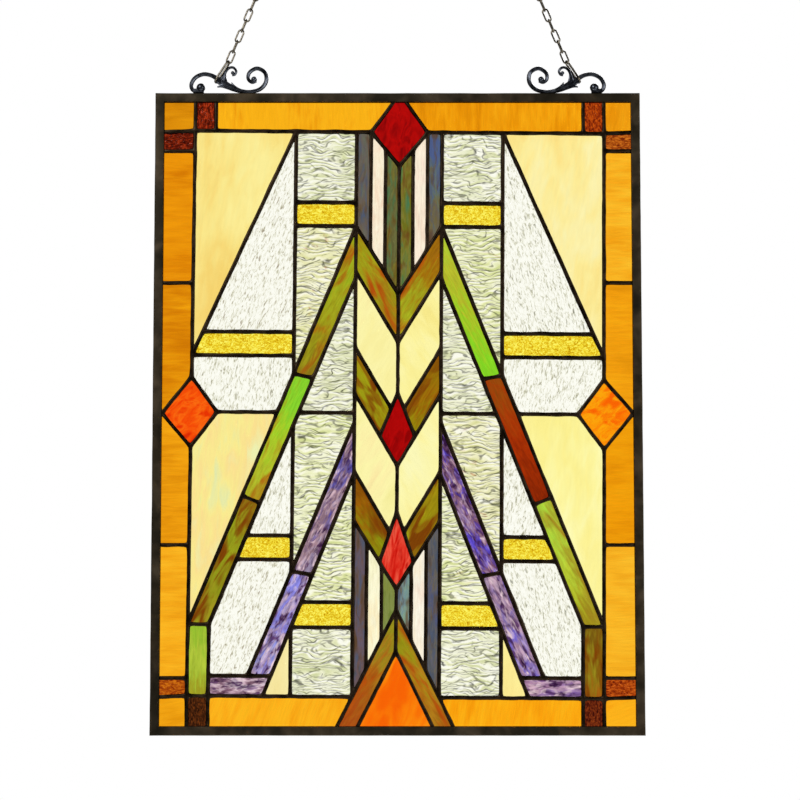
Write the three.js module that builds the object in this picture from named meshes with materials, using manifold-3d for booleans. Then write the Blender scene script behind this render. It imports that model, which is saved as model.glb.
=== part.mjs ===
// A stained glass window panel that hangs on two chains from one ring.
// Sizes are in millimetres, +Z is up, +X is to the viewer's right and the front faces -Y.
// The origin is the point inside the ring where a hook bears.
// The pattern is drawn in panel coordinates, u to the right and v up from the panel's centre.
// It is symmetric, and the finished lattice sits a little askew in its frame.
// Its sizes are those of a drawn panel, and it stretches to fit the real one.

import * as THREE from "three";
import { mergeVertices } from "three/addons/utils/BufferGeometryUtils.js";
import Module from "manifold-3d";

// Panel, glass and solder
const panelWidth = 464;
const panelHeight = 610;
const frameFace = 8.5;
const frameWall = 2;
const frameLip = 1.4;
const grooveClearance = 0.45;
const fitGap = 0.3;
const glassThickness = 3;
const glassFaceGap = 0.15;
const webWidth = 1.2;
const beadWidth = 3.8;
const beadHeight = 1.3;
const rimWidth = 1;
const jointOverlap = 0.1;
const latticeTilt = 0.42;
const drawn = { width: 464, height: 610 };

// Border ring, measured in from the frame's inner edge
const borderSide = 27.8;
const borderTop = 29;
const borderBottom = 27;
const accentLength = 19.8;
const accentDropTop = 47.5;
const accentRiseBottom = 44.9;
const sideJointTop = 174.5;
const sideJointBottom = 169.5;

// Border diamonds
const sideDiamondInward = 24.7;
const sideDiamondHalfHeight = 33.2;
const topDiamondRise = 37.6;
const topDiamondDrop = 33;

// Columns and cross lines, measured from the panel's centre.
// Each rise is measured from where an edge of a slanting band meets the outer column.
const innerColumn = 40.8;
const outerColumn = 98.9;
const midLineRise = 12.487047;
const yellowHeight = 22.6;
const innerYellowTop = 199;
const outerYellowRise = 39.94306;
const middleYellowRise = 33.471138;
const lowerYellowRise = 23.604167;

// The two slanting bands on each side
const greenTop = 176.2;
const greenBandHeight = 49.7;
const greenFootHeight = 67;
const greenJointDrop = 3.6;
const greenLowerJoint = -85;
const purpleTopDrop = 8.5;
const purpleBandHeight = 49;
const purpleFootHeight = 18.9;
const purpleFootU = 139.2;
const purpleHeelU = 124.8;
const purpleJointDrop = 3.4;

// The centre column: stripes, chevrons, diamonds and the pyramid
const topStripe = 13.2;
const topStripeOuter = 27;
const bottomStripe = 14;
const bottomStripeOuter = 28;
const chevronSide = [176.2, 133, 60, 16.6, -57, -104];
const chevronCentre = [111, 65, -8.5, -52.8, -126.3, -168.8];
const diamondTip = [17, -96];
const diamondHalfWidth = [16.7, 16.2];
const pyramidApex = -188;
const pyramidInnerApex = -227;
const pyramidInnerFoot = 35;

// Brackets on the top of the frame, each measured from where its chain takes hold
const bracketFromSide = 58.5;
const bracketDepth = 5;
const sectionDepth = 1.15;
const archRadius = 1.95;
const archRootRadius = 2.3;
const archFootRadius = 2.1;
const voluteRadius = 1.85;
const tendrilRadius = 1.25;
const limbRootRadius = 2.2;
const spurRadii = [1.6, 1.2, 0.6];
const sheathRadius = 4.1;
const footBall = 4.6;
const footPadRadius = 2.2;
const voluteBall = 3.6;
const tendrilBall = 1.9;
const rodSides = 5;
const rodSteps = { arch: 15, volute: 21, tendril: 10, spur: 2, footPad: 2 };
const ballSegments = [7, 4];

// Chains and ring
const hangHeight = 437;
const ringOuter = 25;
const ringWire = 2.5;
const ringSegments = [6, 16];
const linkPitch = 11.1;
const linkWidth = 6.8;
const linkWire = 1.7;
const linkShoulder = 1.3;
const linkBite = 0.1;
const longLinkLength = 26;
const longLinkWidth = 9.6;
const longLinkWire = 1.75;
const longLinkLean = 33;
const longLinkTurn = 25;
const chainGrip = [-0.6, 14.4];

// What follows from the sizes above
const sightU = panelWidth / 2 - frameFace;
const sightV = panelHeight / 2 - frameFace;
const webU = panelWidth / 2 - frameWall - fitGap;
const webV = panelHeight / 2 - frameWall - fitGap;
const rimU = webU - rimWidth;
const rimV = webV - rimWidth;
const drawnSightU = drawn.width / 2 - frameFace;
const drawnSightV = drawn.height / 2 - frameFace;
const drawnRimU = rimU + (drawn.width - panelWidth) / 2;
const drawnRimV = rimV + (drawn.height - panelHeight) / 2;
const webDepth = glassThickness + 2 * glassFaceGap;
const frameDepth = webDepth + 2 * (grooveClearance + frameLip);
const borderU = drawnSightU - borderSide;
const borderV = drawnSightV - borderTop;
const borderBase = borderBottom - drawnSightV;
const accentU = borderU - accentLength;
const frameTopZ = -hangHeight;
const panelCentreZ = frameTopZ - panelHeight / 2;

const samePlace = 1e-6;

const wasm = await Module();
wasm.setup();

// A closed geometry as a solid that can be joined and cut
function toSolid(geometry) {
  const bare = new THREE.BufferGeometry();
  bare.setAttribute("position", geometry.getAttribute("position"));
  bare.setIndex(geometry.getIndex());
  const merged = mergeVertices(bare);
  const vertProperties = Float32Array.from(merged.getAttribute("position").array);
  const triVerts = Uint32Array.from(merged.getIndex().array);
  return new wasm.Manifold(new wasm.Mesh({ numProp: 3, vertProperties, triVerts }));
}

function toGeometry(solid) {
  const mesh = solid.getMesh();
  const geometry = new THREE.BufferGeometry();
  geometry.setAttribute("position", new THREE.BufferAttribute(mesh.vertProperties, 3));
  geometry.setIndex(new THREE.BufferAttribute(mesh.triVerts, 1));
  const faceted = geometry.toNonIndexed();
  faceted.computeVertexNormals();
  return faceted;
}

function union(solids) {
  return solids.reduce((joined, solid) => joined.add(solid));
}

// Points and lines in the panel's plane
const mirrored = (points) => points.map(([u, v]) => [-u, v]);

function crossing([a, b], [c, d]) {
  const first = [b[0] - a[0], b[1] - a[1]];
  const second = [d[0] - c[0], d[1] - c[1]];
  const offset = [c[0] - a[0], c[1] - a[1]];
  const along = (offset[0] * second[1] - offset[1] * second[0])
    / (first[0] * second[1] - first[1] * second[0]);
  return [a[0] + first[0] * along, a[1] + first[1] * along];
}

const atHeight = (line, v) => crossing(line, [[0, v], [1, v]]);
const atSide = (line, u) => crossing(line, [[u, 0], [u, 1]]);

// The edges of the slanting bands, and the cross lines that follow them
const greenFoot = borderBase + greenFootHeight;
const greenOuter = [[innerColumn, greenTop], [borderU, greenFoot]];
const greenInner = [[innerColumn, greenTop - greenBandHeight], [accentU, greenFoot]];
const greenCross = atSide(greenOuter, outerColumn);
const greenUnder = atSide(greenInner, outerColumn);
const midLine = greenUnder[1] + midLineRise;
const purpleTop = midLine - purpleTopDrop;
const purpleOuter = [[innerColumn, purpleTop], [purpleFootU, borderBase + purpleFootHeight]];
const purpleInner = [[innerColumn, purpleTop - purpleBandHeight], [purpleHeelU, borderBase]];
const purpleCross = atSide(purpleOuter, outerColumn);
const purpleUnder = atSide(purpleInner, outerColumn);
const outerYellowTop = greenCross[1] + outerYellowRise;
const middleYellowTop = purpleCross[1] + middleYellowRise;
const lowerYellowTop = purpleUnder[1] + lowerYellowRise;

// A point of the symmetric pattern as it lies in the frame
function askew([u, v]) {
  const angle = THREE.MathUtils.degToRad(latticeTilt);
  return [u * Math.cos(angle) + v * Math.sin(angle), v * Math.cos(angle) - u * Math.sin(angle)];
}

// A point of the drawn pattern in the real panel, with the pattern's outer edge on the frame
const stretch = ([u, v]) => [u * rimU / drawnRimU, v * rimV / drawnRimV];

// A convex outline with each side moved inwards by its own amount
function inset(outline, amounts) {
  const turn = outline.reduce((sum, [u, v], i) => {
    const [nextU, nextV] = outline[(i + 1) % outline.length];
    return sum + u * nextV - nextU * v;
  }, 0);
  const sign = Math.sign(turn);
  let kept = [[-panelWidth, -panelHeight], [panelWidth, -panelHeight],
    [panelWidth, panelHeight], [-panelWidth, panelHeight]];
  outline.forEach((start, i) => {
    const end = outline[(i + 1) % outline.length];
    const length = Math.hypot(end[0] - start[0], end[1] - start[1]);
    const normal = [sign * (start[1] - end[1]) / length, sign * (end[0] - start[0]) / length];
    const depth = ([u, v]) => (u - start[0]) * normal[0] + (v - start[1]) * normal[1] - amounts[i];
    kept = kept.flatMap((point, k) => {
      const next = kept[(k + 1) % kept.length];
      const [here, there] = [depth(point), depth(next)];
      const points = here >= 0 ? [point] : [];
      if (here * there < 0) {
        const share = here / (here - there);
        points.push(point.map((value, axis) => value + (next[axis] - value) * share));
      }
      return points;
    });
  });
  return kept;
}

// An outline in the X-Z plane, given depth from front to back.
// Both faces get their exact depth, so that solids that share a face join.
function prismGeometry(outline, front, back, holes = []) {
  const points = (line) => line.map(([x, z]) => new THREE.Vector2(x, z));
  const shape = new THREE.Shape(points(outline));
  shape.holes = holes.map((hole) => new THREE.Path(points(hole)));
  const geometry = new THREE.ExtrudeGeometry(shape, { depth: back - front, bevelEnabled: false });
  geometry.rotateX(Math.PI / 2);
  const position = geometry.getAttribute("position");
  for (let i = 0; i < position.count; i += 1) {
    position.setY(i, position.getY(i) < (front - back) / 2 ? front : back);
  }
  return geometry;
}

const prism = (outline, front, back) => toSolid(prismGeometry(outline, front, back));

const rectangle = (u, v) => [[-u, -v], [u, -v], [u, v], [-u, v]];

// The glass of one half of the pattern, for the right side
function sideGlass() {
  const yellowBelow = (top) => top - yellowHeight;
  const diagonal = [[outerColumn, borderV], [borderU, yellowBelow(outerYellowTop)]];
  const column = (v) => [outerColumn, v];
  const inner = (v) => [innerColumn, v];
  const [greenStart, greenEnd] = greenOuter;
  const upperJoint = atHeight(greenInner, greenCross[1] - greenJointDrop);
  const slope = [greenEnd[0] - greenStart[0], greenEnd[1] - greenStart[1]];
  const lowerOuter = atHeight(greenOuter, greenLowerJoint + greenJointDrop);
  const square = [lowerOuter[0] + slope[1], lowerOuter[1] - slope[0]];
  const lowerInner = crossing(greenInner, [lowerOuter, square]);
  const purpleJoint = atHeight(purpleInner, purpleCross[1] - purpleJointDrop);
  const purpleFoot = purpleOuter[1];
  const purpleCorner = atHeight(purpleInner, purpleFoot[1]);
  const midOuter = atHeight(greenOuter, midLine);
  const midInner = atHeight(greenInner, midLine);
  const diamondInner = [borderU - sideDiamondInward, midLine];
  const middleYellowBase = yellowBelow(middleYellowTop);
  return {
    cream_upper: [[diagonal[0], [borderU, borderV], diagonal[1]]],
    clear_upper: [
      [column(borderV), atHeight(diagonal, outerYellowTop), column(outerYellowTop)],
      [column(outerYellowTop), atHeight(diagonal, outerYellowTop), diagonal[1],
        column(yellowBelow(outerYellowTop))],
      [column(yellowBelow(outerYellowTop)), diagonal[1], [borderU, midLine + sideDiamondHalfHeight],
        diamondInner, midOuter, greenCross],
    ],
    ripple_upper: [
      [inner(borderV), column(borderV), column(innerYellowTop), inner(innerYellowTop)],
      [inner(innerYellowTop), column(innerYellowTop), column(greenTop), inner(greenTop)],
      [inner(greenTop), column(greenTop), greenCross],
    ],
    green_band: [
      [greenStart, greenCross, upperJoint, greenInner[0]],
      [greenCross, lowerOuter, lowerInner, upperJoint],
      [lowerOuter, greenEnd, greenInner[1], lowerInner],
      [greenInner[1], greenEnd, [borderU, borderBase], [accentU, borderBase]],
    ],
    ripple_middle: [
      [greenInner[0], midInner, inner(midLine)],
      [inner(midLine), midInner, greenUnder, purpleCross, inner(purpleTop)],
    ],
    cream_lower: [[midOuter, diamondInner, [borderU, midLine - sideDiamondHalfHeight], greenEnd]],
    clear_lower: [
      [greenUnder, atHeight(greenInner, middleYellowTop), column(middleYellowTop)],
      [column(middleYellowTop), atHeight(greenInner, middleYellowTop),
        atHeight(greenInner, middleYellowBase), column(middleYellowBase)],
      [column(middleYellowBase), atHeight(greenInner, middleYellowBase), greenInner[1],
        [accentU, purpleFoot[1]], purpleFoot, purpleCross],
    ],
    purple_band: [
      [purpleOuter[0], purpleCross, purpleJoint, purpleInner[0]],
      [purpleCross, purpleFoot, purpleCorner, purpleJoint],
    ],
    purple_foot: [[purpleCorner, [accentU, purpleFoot[1]], [accentU, borderBase], purpleInner[1]]],
    ripple_lower: [
      [purpleInner[0], atHeight(purpleInner, lowerYellowTop), inner(lowerYellowTop)],
      [inner(lowerYellowTop), atHeight(purpleInner, lowerYellowTop), purpleUnder,
        inner(purpleUnder[1])],
      [inner(purpleUnder[1]), purpleUnder, column(borderBase), inner(borderBase)],
    ],
    cream_small: [[purpleUnder, purpleInner[1], column(borderBase)]],
  };
}

// The right half of the centre column
function centreGlass() {
  const chevron = chevronSide.map((v, i) => [[innerColumn, v], [0, chevronCentre[i]]]);
  const onChevron = (i, u) => atSide(chevron[i], u);
  const diamondUpper = [[topStripeOuter, borderV], [0, borderV - topDiamondDrop]];
  const rise = atHeight([diamondUpper[0], [0, borderV + topDiamondRise]], drawnRimV);
  const diamondEdge = diamondTip.map((v, i) => [[0, v], onChevron(2 * i + 3, diamondHalfWidth[i])]);
  const leg = [[0, pyramidApex], [innerColumn, borderBase]];
  const legInner = [[0, pyramidInnerApex], [pyramidInnerFoot, -drawnSightV]];
  const legFoot = atHeight(leg, -drawnRimV);
  const innerFoot = atHeight(legInner, -drawnRimV);
  const onDiamond = (u) => atSide(diamondUpper, u);
  const onLeg = (u) => atSide(leg, u);
  const clip = diamondTip.map((v, i) => crossing(diamondEdge[i], chevron[2 * i + 2]));
  return {
    stripes_top: [
      [onDiamond(0), onDiamond(topStripe), onChevron(0, topStripe), onChevron(0, 0)],
      [onDiamond(topStripe), onDiamond(topStripeOuter), onChevron(0, topStripeOuter),
        onChevron(0, topStripe)],
      [onDiamond(topStripeOuter), [innerColumn, borderV], chevron[0][0], onChevron(0, topStripeOuter)],
    ],
    chevron_1: [[...chevron[0], chevron[1][1], chevron[1][0]]],
    chevron_2: [[...chevron[1], [0, diamondTip[0]], clip[0], chevron[2][0]]],
    chevron_3: [[chevron[2][0], clip[0], diamondEdge[0][1], chevron[3][0]]],
    chevron_4: [[...chevron[3], [0, diamondTip[1]], clip[1], chevron[4][0]]],
    chevron_5: [[chevron[4][0], clip[1], diamondEdge[1][1], chevron[5][0]]],
    stripes_bottom: [
      [onChevron(5, 0), onChevron(5, bottomStripe), onLeg(bottomStripe), onLeg(0)],
      [onChevron(5, bottomStripe), onChevron(5, bottomStripeOuter), onLeg(bottomStripeOuter),
        onLeg(bottomStripe)],
      [onChevron(5, bottomStripeOuter), chevron[5][0], [innerColumn, borderBase],
        onLeg(bottomStripeOuter)],
    ],
    pyramid_legs: [[leg[0], legFoot, innerFoot, legInner[0]]],
    diamond_top: [rise, diamondUpper[0], onDiamond(0)],
    diamond_middle: [...diamondEdge[0], [0, chevronCentre[3]]],
    diamond_bottom: [...diamondEdge[1], [0, chevronCentre[5]]],
    pyramid_centre: [legInner[0], innerFoot],
  };
}

// The border ring of one side, already lying askew, since its outer ends stay square to the frame
function borderGlass(side) {
  const at = (u, v) => askew([side * u, v]);
  const sideLine = [at(borderU, borderV), at(borderU, borderBase)];
  const ring = (v) => atHeight(sideLine, v);
  const edge = (v) => [side * drawnRimU, v];
  const outwards = ([u], v) => [u, v];
  const upright = [topStripeOuter, borderV];
  const rise = atHeight([at(...upright), at(0, borderV + topDiamondRise)], drawnRimV);
  const legLine = [at(0, pyramidApex), at(innerColumn, borderBase)];
  const legFoot = atHeight(legLine, -drawnRimV);
  const [topAccent, baseAccent] = [at(accentU, borderV), at(accentU, borderBase)];
  const [topCorner, baseCorner] = sideLine;
  const accentTop = drawnSightV - accentDropTop;
  const accentBase = accentRiseBottom - drawnSightV;
  const jointTop = drawnSightV - sideJointTop;
  const jointBase = sideJointBottom - drawnSightV;
  const diamondOuter = [side * drawnSightU, midLine];
  const diamondTop = at(borderU, midLine + sideDiamondHalfHeight);
  const diamondBase = at(borderU, midLine - sideDiamondHalfHeight);
  return {
    border_top: [[at(...upright), rise, outwards(topAccent, drawnRimV), topAccent]],
    border_corner_top: [
      [topAccent, outwards(topAccent, drawnRimV), outwards(topCorner, drawnRimV), topCorner],
      [topCorner, outwards(topCorner, drawnRimV), [side * drawnRimU, drawnRimV], edge(borderV)],
      [topCorner, edge(borderV), edge(accentTop), ring(accentTop)],
    ],
    border_side_upper: [
      [ring(accentTop), edge(accentTop), edge(jointTop), ring(jointTop)],
      [ring(jointTop), edge(jointTop), edge(midLine), diamondOuter, diamondTop],
    ],
    diamond_side: [[diamondTop, diamondOuter, diamondBase, at(borderU - sideDiamondInward, midLine)]],
    border_side_lower: [
      [diamondBase, diamondOuter, edge(midLine), edge(jointBase), ring(jointBase)],
      [ring(jointBase), edge(jointBase), edge(accentBase), ring(accentBase)],
    ],
    border_corner_bottom: [
      [ring(accentBase), edge(accentBase), edge(borderBase), baseCorner],
      [baseCorner, edge(borderBase), [side * drawnRimU, -drawnRimV], outwards(baseCorner, -drawnRimV)],
      [baseAccent, baseCorner, outwards(baseCorner, -drawnRimV), outwards(baseAccent, -drawnRimV)],
    ],
    border_bottom: [
      [at(innerColumn, borderBase), baseAccent, outwards(baseAccent, -drawnRimV), legFoot],
    ],
  };
}

// Every piece of glass as outlines under the name of the solid that holds it
function allGlass() {
  const glass = {};
  for (const [side, label] of [[-1, "left"], [1, "right"]]) {
    const facing = (points) => (side < 0 ? mirrored(points) : points).map(askew);
    for (const [name, panes] of Object.entries(sideGlass())) {
      glass[`${name}_${label}`] = panes.map(facing);
    }
    for (const [name, panes] of Object.entries(borderGlass(side))) {
      glass[`${name}_${label}`] = panes;
    }
  }
  const joined = ["stripes_top", "chevron_1", "chevron_2", "chevron_4", "stripes_bottom",
    "pyramid_legs"];
  for (const [name, panes] of Object.entries(centreGlass())) {
    if (name.startsWith("diamond") || name === "pyramid_centre") {
      const others = mirrored(panes).reverse().filter(([u]) => u !== 0);
      glass[name] = [[...panes, ...others].map(askew)];
    } else if (joined.includes(name)) {
      glass[name] = [...panes.map(mirrored), ...panes].map((pane) => pane.map(askew));
    } else {
      glass[`${name}_left`] = panes.map(mirrored).map((pane) => pane.map(askew));
      glass[`${name}_right`] = panes.map((pane) => pane.map(askew));
    }
  }
  for (const name of Object.keys(glass)) {
    glass[name] = glass[name].map((pane) => pane.map(stretch));
  }
  return glass;
}

// What lies along a side of a pane: the frame, another pane of the same solid, or solder
function sideKinds(pane, group) {
  const same = (a, b) => Math.hypot(a[0] - b[0], a[1] - b[1]) < samePlace;
  const level = (a, b) => Math.abs(a - b) < samePlace;
  const inFrame = ([u, v], [nextU, nextV]) => (
    (level(u, nextU) && level(Math.abs(u), rimU)) || (level(v, nextV) && level(Math.abs(v), rimV)));
  return pane.map((start, i) => {
    const end = pane[(i + 1) % pane.length];
    if (inFrame(start, end)) return "frame";
    const shared = group.some((other) => other !== pane && other.some((point, k) => {
      const next = other[(k + 1) % other.length];
      return (same(point, start) && same(next, end)) || (same(point, end) && same(next, start));
    }));
    return shared ? "joint" : "solder";
  });
}

function paneInset(pane, group, amounts) {
  return inset(pane, sideKinds(pane, group).map((kind) => amounts[kind]));
}

function glassSolid(group) {
  const amounts = { solder: webWidth / 2 + fitGap, frame: fitGap, joint: -jointOverlap / 2 };
  const half = glassThickness / 2;
  return union(group.map((pane) => prism(paneInset(pane, group, amounts), -half, half)));
}

// The soldered lattice: a thin web between the panes, and a bead over it on each face
function latticeSolid(glass) {
  const webAmounts = { solder: webWidth / 2, frame: 0, joint: -jointOverlap / 2 };
  const beadAmounts = { solder: beadWidth / 2, frame: 0, joint: beadWidth / 2 };
  const webHalf = webDepth / 2;
  const full = webHalf + beadHeight;
  const webHoles = [];
  const beadHoles = [];
  for (const group of Object.values(glass)) {
    for (const pane of group) {
      webHoles.push(prism(paneInset(pane, group, webAmounts), -full, full));
      beadHoles.push(prism(paneInset(pane, group, beadAmounts), -2 * full, 2 * full));
    }
  }
  const webPlate = prism(rectangle(webU, webV), -webHalf, webHalf);
  const beadOutline = rectangle(sightU - fitGap, sightV - fitGap);
  const web = webPlate.subtract(union(webHoles));
  const opening = union(beadHoles);
  const beads = [[-full, -webHalf], [webHalf, full]].map(([front, back]) => (
    prism(beadOutline, front, back).subtract(opening)));
  return union([web, ...beads]);
}

// One U-shaped bar of the frame with mitred ends, lying along X with its groove facing down.
// It is extruded from 0 to 2, so that its ends lie at -1 and 1 before they are moved out.
function frameBar(length) {
  const half = frameDepth / 2;
  const groove = half - frameLip;
  const profile = [[-half, 0], [half, 0], [half, -frameFace], [groove, -frameFace],
    [groove, -frameWall], [-groove, -frameWall], [-groove, -frameFace], [-half, -frameFace]];
  const shape = new THREE.Shape(profile.map(([y, z]) => new THREE.Vector2(y, z)));
  const geometry = new THREE.ExtrudeGeometry(shape, { depth: 2, bevelEnabled: false });
  const position = geometry.getAttribute("position");
  for (let i = 0; i < position.count; i += 1) {
    const [y, z, end] = [position.getX(i), position.getY(i), position.getZ(i) - 1];
    position.setXYZ(i, end * (length / 2 + z - fitGap / 2), y, z);
  }
  geometry.computeVertexNormals();
  return geometry;
}

// A rod along a flat curve in X and Z, with a radius that changes from its start to its end
function taperedRod(points, radii, steps) {
  const curve = new THREE.CatmullRomCurve3(points.map(([x, z]) => new THREE.Vector3(x, 0, z)));
  const profile = new THREE.SplineCurve(radii.map((radius, i) => new THREE.Vector2(i, radius)));
  const sides = rodSides;
  const corners = [];
  for (let step = 0; step <= steps; step += 1) {
    const share = step / steps;
    const centre = curve.getPointAt(share);
    const along = curve.getTangentAt(share);
    const radius = profile.getPoint(share).y;
    const halfDepth = Math.min(radius * sectionDepth, bracketDepth / 2);
    for (let side = 0; side < sides; side += 1) {
      const angle = 2 * Math.PI * (side + 0.5) / sides;
      const across = radius * Math.cos(angle);
      const deep = halfDepth * Math.sin(angle);
      corners.push(centre.x - across * along.z, deep, centre.z + across * along.x);
    }
  }
  const faces = [];
  for (let step = 0; step < steps; step += 1) {
    for (let side = 0; side < sides; side += 1) {
      const next = (side + 1) % sides;
      const [a, b] = [step * sides + side, step * sides + next];
      faces.push(a, a + sides, b, b, a + sides, b + sides);
    }
  }
  for (let side = 1; side < sides - 1; side += 1) {
    const last = steps * sides;
    faces.push(0, side, side + 1, last, last + side + 1, last + side);
  }
  const geometry = new THREE.BufferGeometry();
  geometry.setAttribute("position", new THREE.Float32BufferAttribute(corners, 3));
  geometry.setIndex(faces);
  return toSolid(geometry);
}

function ball([x, z], radius) {
  const geometry = new THREE.SphereGeometry(radius, ...ballSegments);
  geometry.translate(x, 0, z);
  return toSolid(geometry);
}

// A cast scroll bracket: an arched foot, a leaf sheath, a large volute and a small tendril
function bracketSolid(side) {
  const facing = ([x, z]) => [-side * x, z];
  const rod = (points, radii, steps) => taperedRod(points.map(facing), radii, steps);
  const arch = [[4, 11.5], [0.6, 14.4], [-5.5, 17.8], [-13.1, 18.9], [-20.6, 15.4], [-24.4, 8.6],
    [-21.8, 2.8], [-16.5, 2.6]];
  const volute = [[2.4, 9.2], [10.5, 6.9], [21, 2.8], [31.5, 1.6], [41.5, 4.4], [47.2, 11.6],
    [46.2, 20.4], [38.5, 24.6], [31.2, 20.6], [30.6, 13.8], [35.4, 11.8]];
  const tendril = [[6, 10.5], [7, 17.4], [10.6, 23.4], [15.8, 25.2], [19.2, 21.2], [17, 17.7],
    [14.6, 18.4]];
  const spur = [[20.5, 3.4], [16.8, 7], [14.6, 11]];
  const footPad = [[-23, 2.2], [-17.5, 1.8], [-12, 2.2]];
  const pieces = [
    rod(arch, [archRootRadius, archRadius, archRadius, archRadius, archFootRadius], rodSteps.arch),
    rod(volute, [sheathRadius, limbRootRadius, voluteRadius, voluteRadius, voluteRadius],
      rodSteps.volute),
    rod(tendril, [limbRootRadius, tendrilRadius, tendrilRadius, tendrilRadius], rodSteps.tendril),
    rod(spur, spurRadii, rodSteps.spur),
    rod(footPad, [footPadRadius, footPadRadius, footPadRadius], rodSteps.footPad),
    ball(facing([-15, 5.4]), footBall),
    ball(facing([36.6, 13.4]), voluteBall),
    ball(facing([14, 19.6]), tendrilBall),
  ];
  const reach = 2 * bracketFromSide;
  const below = new THREE.BoxGeometry(2 * reach, reach, reach);
  below.translate(0, 0, fitGap - reach / 2);
  return union(pieces).subtract(toSolid(below));
}

// A chain link of square wire, standing in the X-Z plane, with its hole between two heights
function linkGeometry(low, high, width, wire) {
  const [bottom, top, half] = [low - wire, high + wire, width / 2];
  const shoulder = wire * linkShoulder;
  const outline = [[0, bottom], [half, bottom + shoulder], [half, top - shoulder], [0, top],
    [-half, top - shoulder], [-half, bottom + shoulder]];
  const inner = half - wire;
  const hole = [[-inner, low], [inner, low], [inner, high], [-inner, high]];
  return prismGeometry(outline, -wire / 2, wire / 2, [hole]);
}

// Moves an upright geometry so that its foot is at a point and its top leans towards another
function aim(geometry, from, to) {
  geometry.rotateY(Math.atan2(to[0] - from[0], to[1] - from[1]));
  geometry.translate(from[0], 0, from[1]);
  return geometry;
}

// The chain of one side: a long link round the bracket's arch, then links up to the ring
function chainSolid(side) {
  const [gripX, gripZ] = chainGrip;
  const archPoint = [side * (panelWidth / 2 - bracketFromSide + gripX), frameTopZ + gripZ];
  const lean = THREE.MathUtils.degToRad(longLinkLean);
  const upwards = ([x, z], amount) => [x - side * Math.sin(lean) * amount, z + Math.cos(lean) * amount];
  const foot = upwards(archPoint, -archRootRadius - fitGap);
  const hole = longLinkLength - 2 * longLinkWire;
  const head = upwards(foot, hole + linkBite);
  const longLink = linkGeometry(0, hole, longLinkWidth, longLinkWire);
  longLink.rotateZ(Math.PI / 2 + side * THREE.MathUtils.degToRad(longLinkTurn));
  const ringCentre = [0, ringWire - ringOuter / 2];
  const distance = Math.hypot(head[0] - ringCentre[0], head[1] - ringCentre[1]);
  const span = distance - (ringOuter / 2 - ringWire - fitGap);
  const count = 2 * Math.round(span / linkPitch / 2);
  const links = [];
  for (let i = 0; i < count; i += 1) {
    const link = linkGeometry(i * span / count, (i + 1) * span / count, linkWidth, linkWire);
    link.rotateZ((i % 2) * Math.PI / 2);
    links.push(toSolid(link));
  }
  const chain = toSolid(aim(toGeometry(union(links)), head, ringCentre));
  return union([toSolid(aim(longLink, foot, upwards(foot, 1))), chain]);
}

function ringSolid() {
  const radius = (ringOuter - ringWire) / 2;
  const geometry = new THREE.TorusGeometry(radius, ringWire / 2, ...ringSegments);
  geometry.rotateX(Math.PI / 2);
  geometry.translate(0, 0, ringWire / 2 - radius);
  return toSolid(geometry);
}

// Finishes
const finish = (color, roughness, metalness) => ({ color, roughness, metalness });
const metals = {
  frame: finish(0x2b2620, 0.55, 0.6),
  solder: finish(0x1c1814, 0.5, 0.6),
  bracket: finish(0x17181c, 0.5, 0.5),
  chain: finish(0x5c564c, 0.4, 0.9),
};
const glassColours = {
  border_corner: 0xe89b28,
  border: 0xf5ad1e,
  cream: 0xf8e9a4,
  clear: 0xf0f0ea,
  ripple: 0xe6ebd2,
  green: 0x8fae24,
  purple: 0x6a5aa6,
  stripes: 0x8a8878,
  chevron_2: 0xf8efb4,
  chevron_4: 0xf8efb4,
  chevron: 0x8c7a14,
  diamond_side_left: 0xf5501c,
  diamond_side_right: 0xf5901c,
  diamond: 0xc40a0a,
  pyramid_legs: 0x8c8020,
  pyramid_centre: 0xfa8a14,
};

function glassFinish(name) {
  const key = Object.keys(glassColours).find((start) => name.startsWith(start));
  return finish(glassColours[key], 0.15, 0);
}

function piece(name, geometry, look) {
  const mesh = new THREE.Mesh(geometry, new THREE.MeshStandardMaterial(look));
  mesh.name = name;
  return mesh;
}

function framePieces() {
  const bars = [
    ["frame_top", panelWidth, 0, panelHeight / 2, 0],
    ["frame_right", panelHeight, panelWidth / 2, 0, Math.PI / 2],
    ["frame_bottom", panelWidth, 0, -panelHeight / 2, Math.PI],
    ["frame_left", panelHeight, -panelWidth / 2, 0, -Math.PI / 2],
  ];
  return bars.map(([name, length, x, z, turn]) => {
    const bar = piece(name, frameBar(length), metals.frame);
    bar.position.set(x, 0, z);
    bar.rotation.y = turn;
    return bar;
  });
}

const panel = new THREE.Group();
panel.position.z = panelCentreZ;
panel.add(...framePieces());
const glass = allGlass();
panel.add(piece("solder_lattice", toGeometry(latticeSolid(glass)), metals.solder));
for (const [name, group] of Object.entries(glass)) {
  panel.add(piece(name, toGeometry(glassSolid(group)), glassFinish(name)));
}

const windowPanel = new THREE.Group();
windowPanel.add(panel, piece("hang_ring", toGeometry(ringSolid()), metals.chain));
for (const [side, label] of [[-1, "left"], [1, "right"]]) {
  const bracket = piece(`bracket_${label}`, toGeometry(bracketSolid(side)), metals.bracket);
  bracket.position.set(side * (panelWidth / 2 - bracketFromSide), 0, frameTopZ);
  windowPanel.add(bracket, piece(`chain_${label}`, toGeometry(chainSolid(side)), metals.chain));
}

export default windowPanel;
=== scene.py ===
"""Dresses a hanging stained glass window: art glass panes, a soldered lattice, a channel frame,
scroll brackets and chains.

Shapes are worked out in millimetres on the panel: u to the right, v up and y from front to back.
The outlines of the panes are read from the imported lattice, so that glass and solder follow it.
"""

import math

import bpy
import numpy as np
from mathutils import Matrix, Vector
from mathutils.bvhtree import BVHTree
from mathutils.geometry import delaunay_2d_cdt


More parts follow.
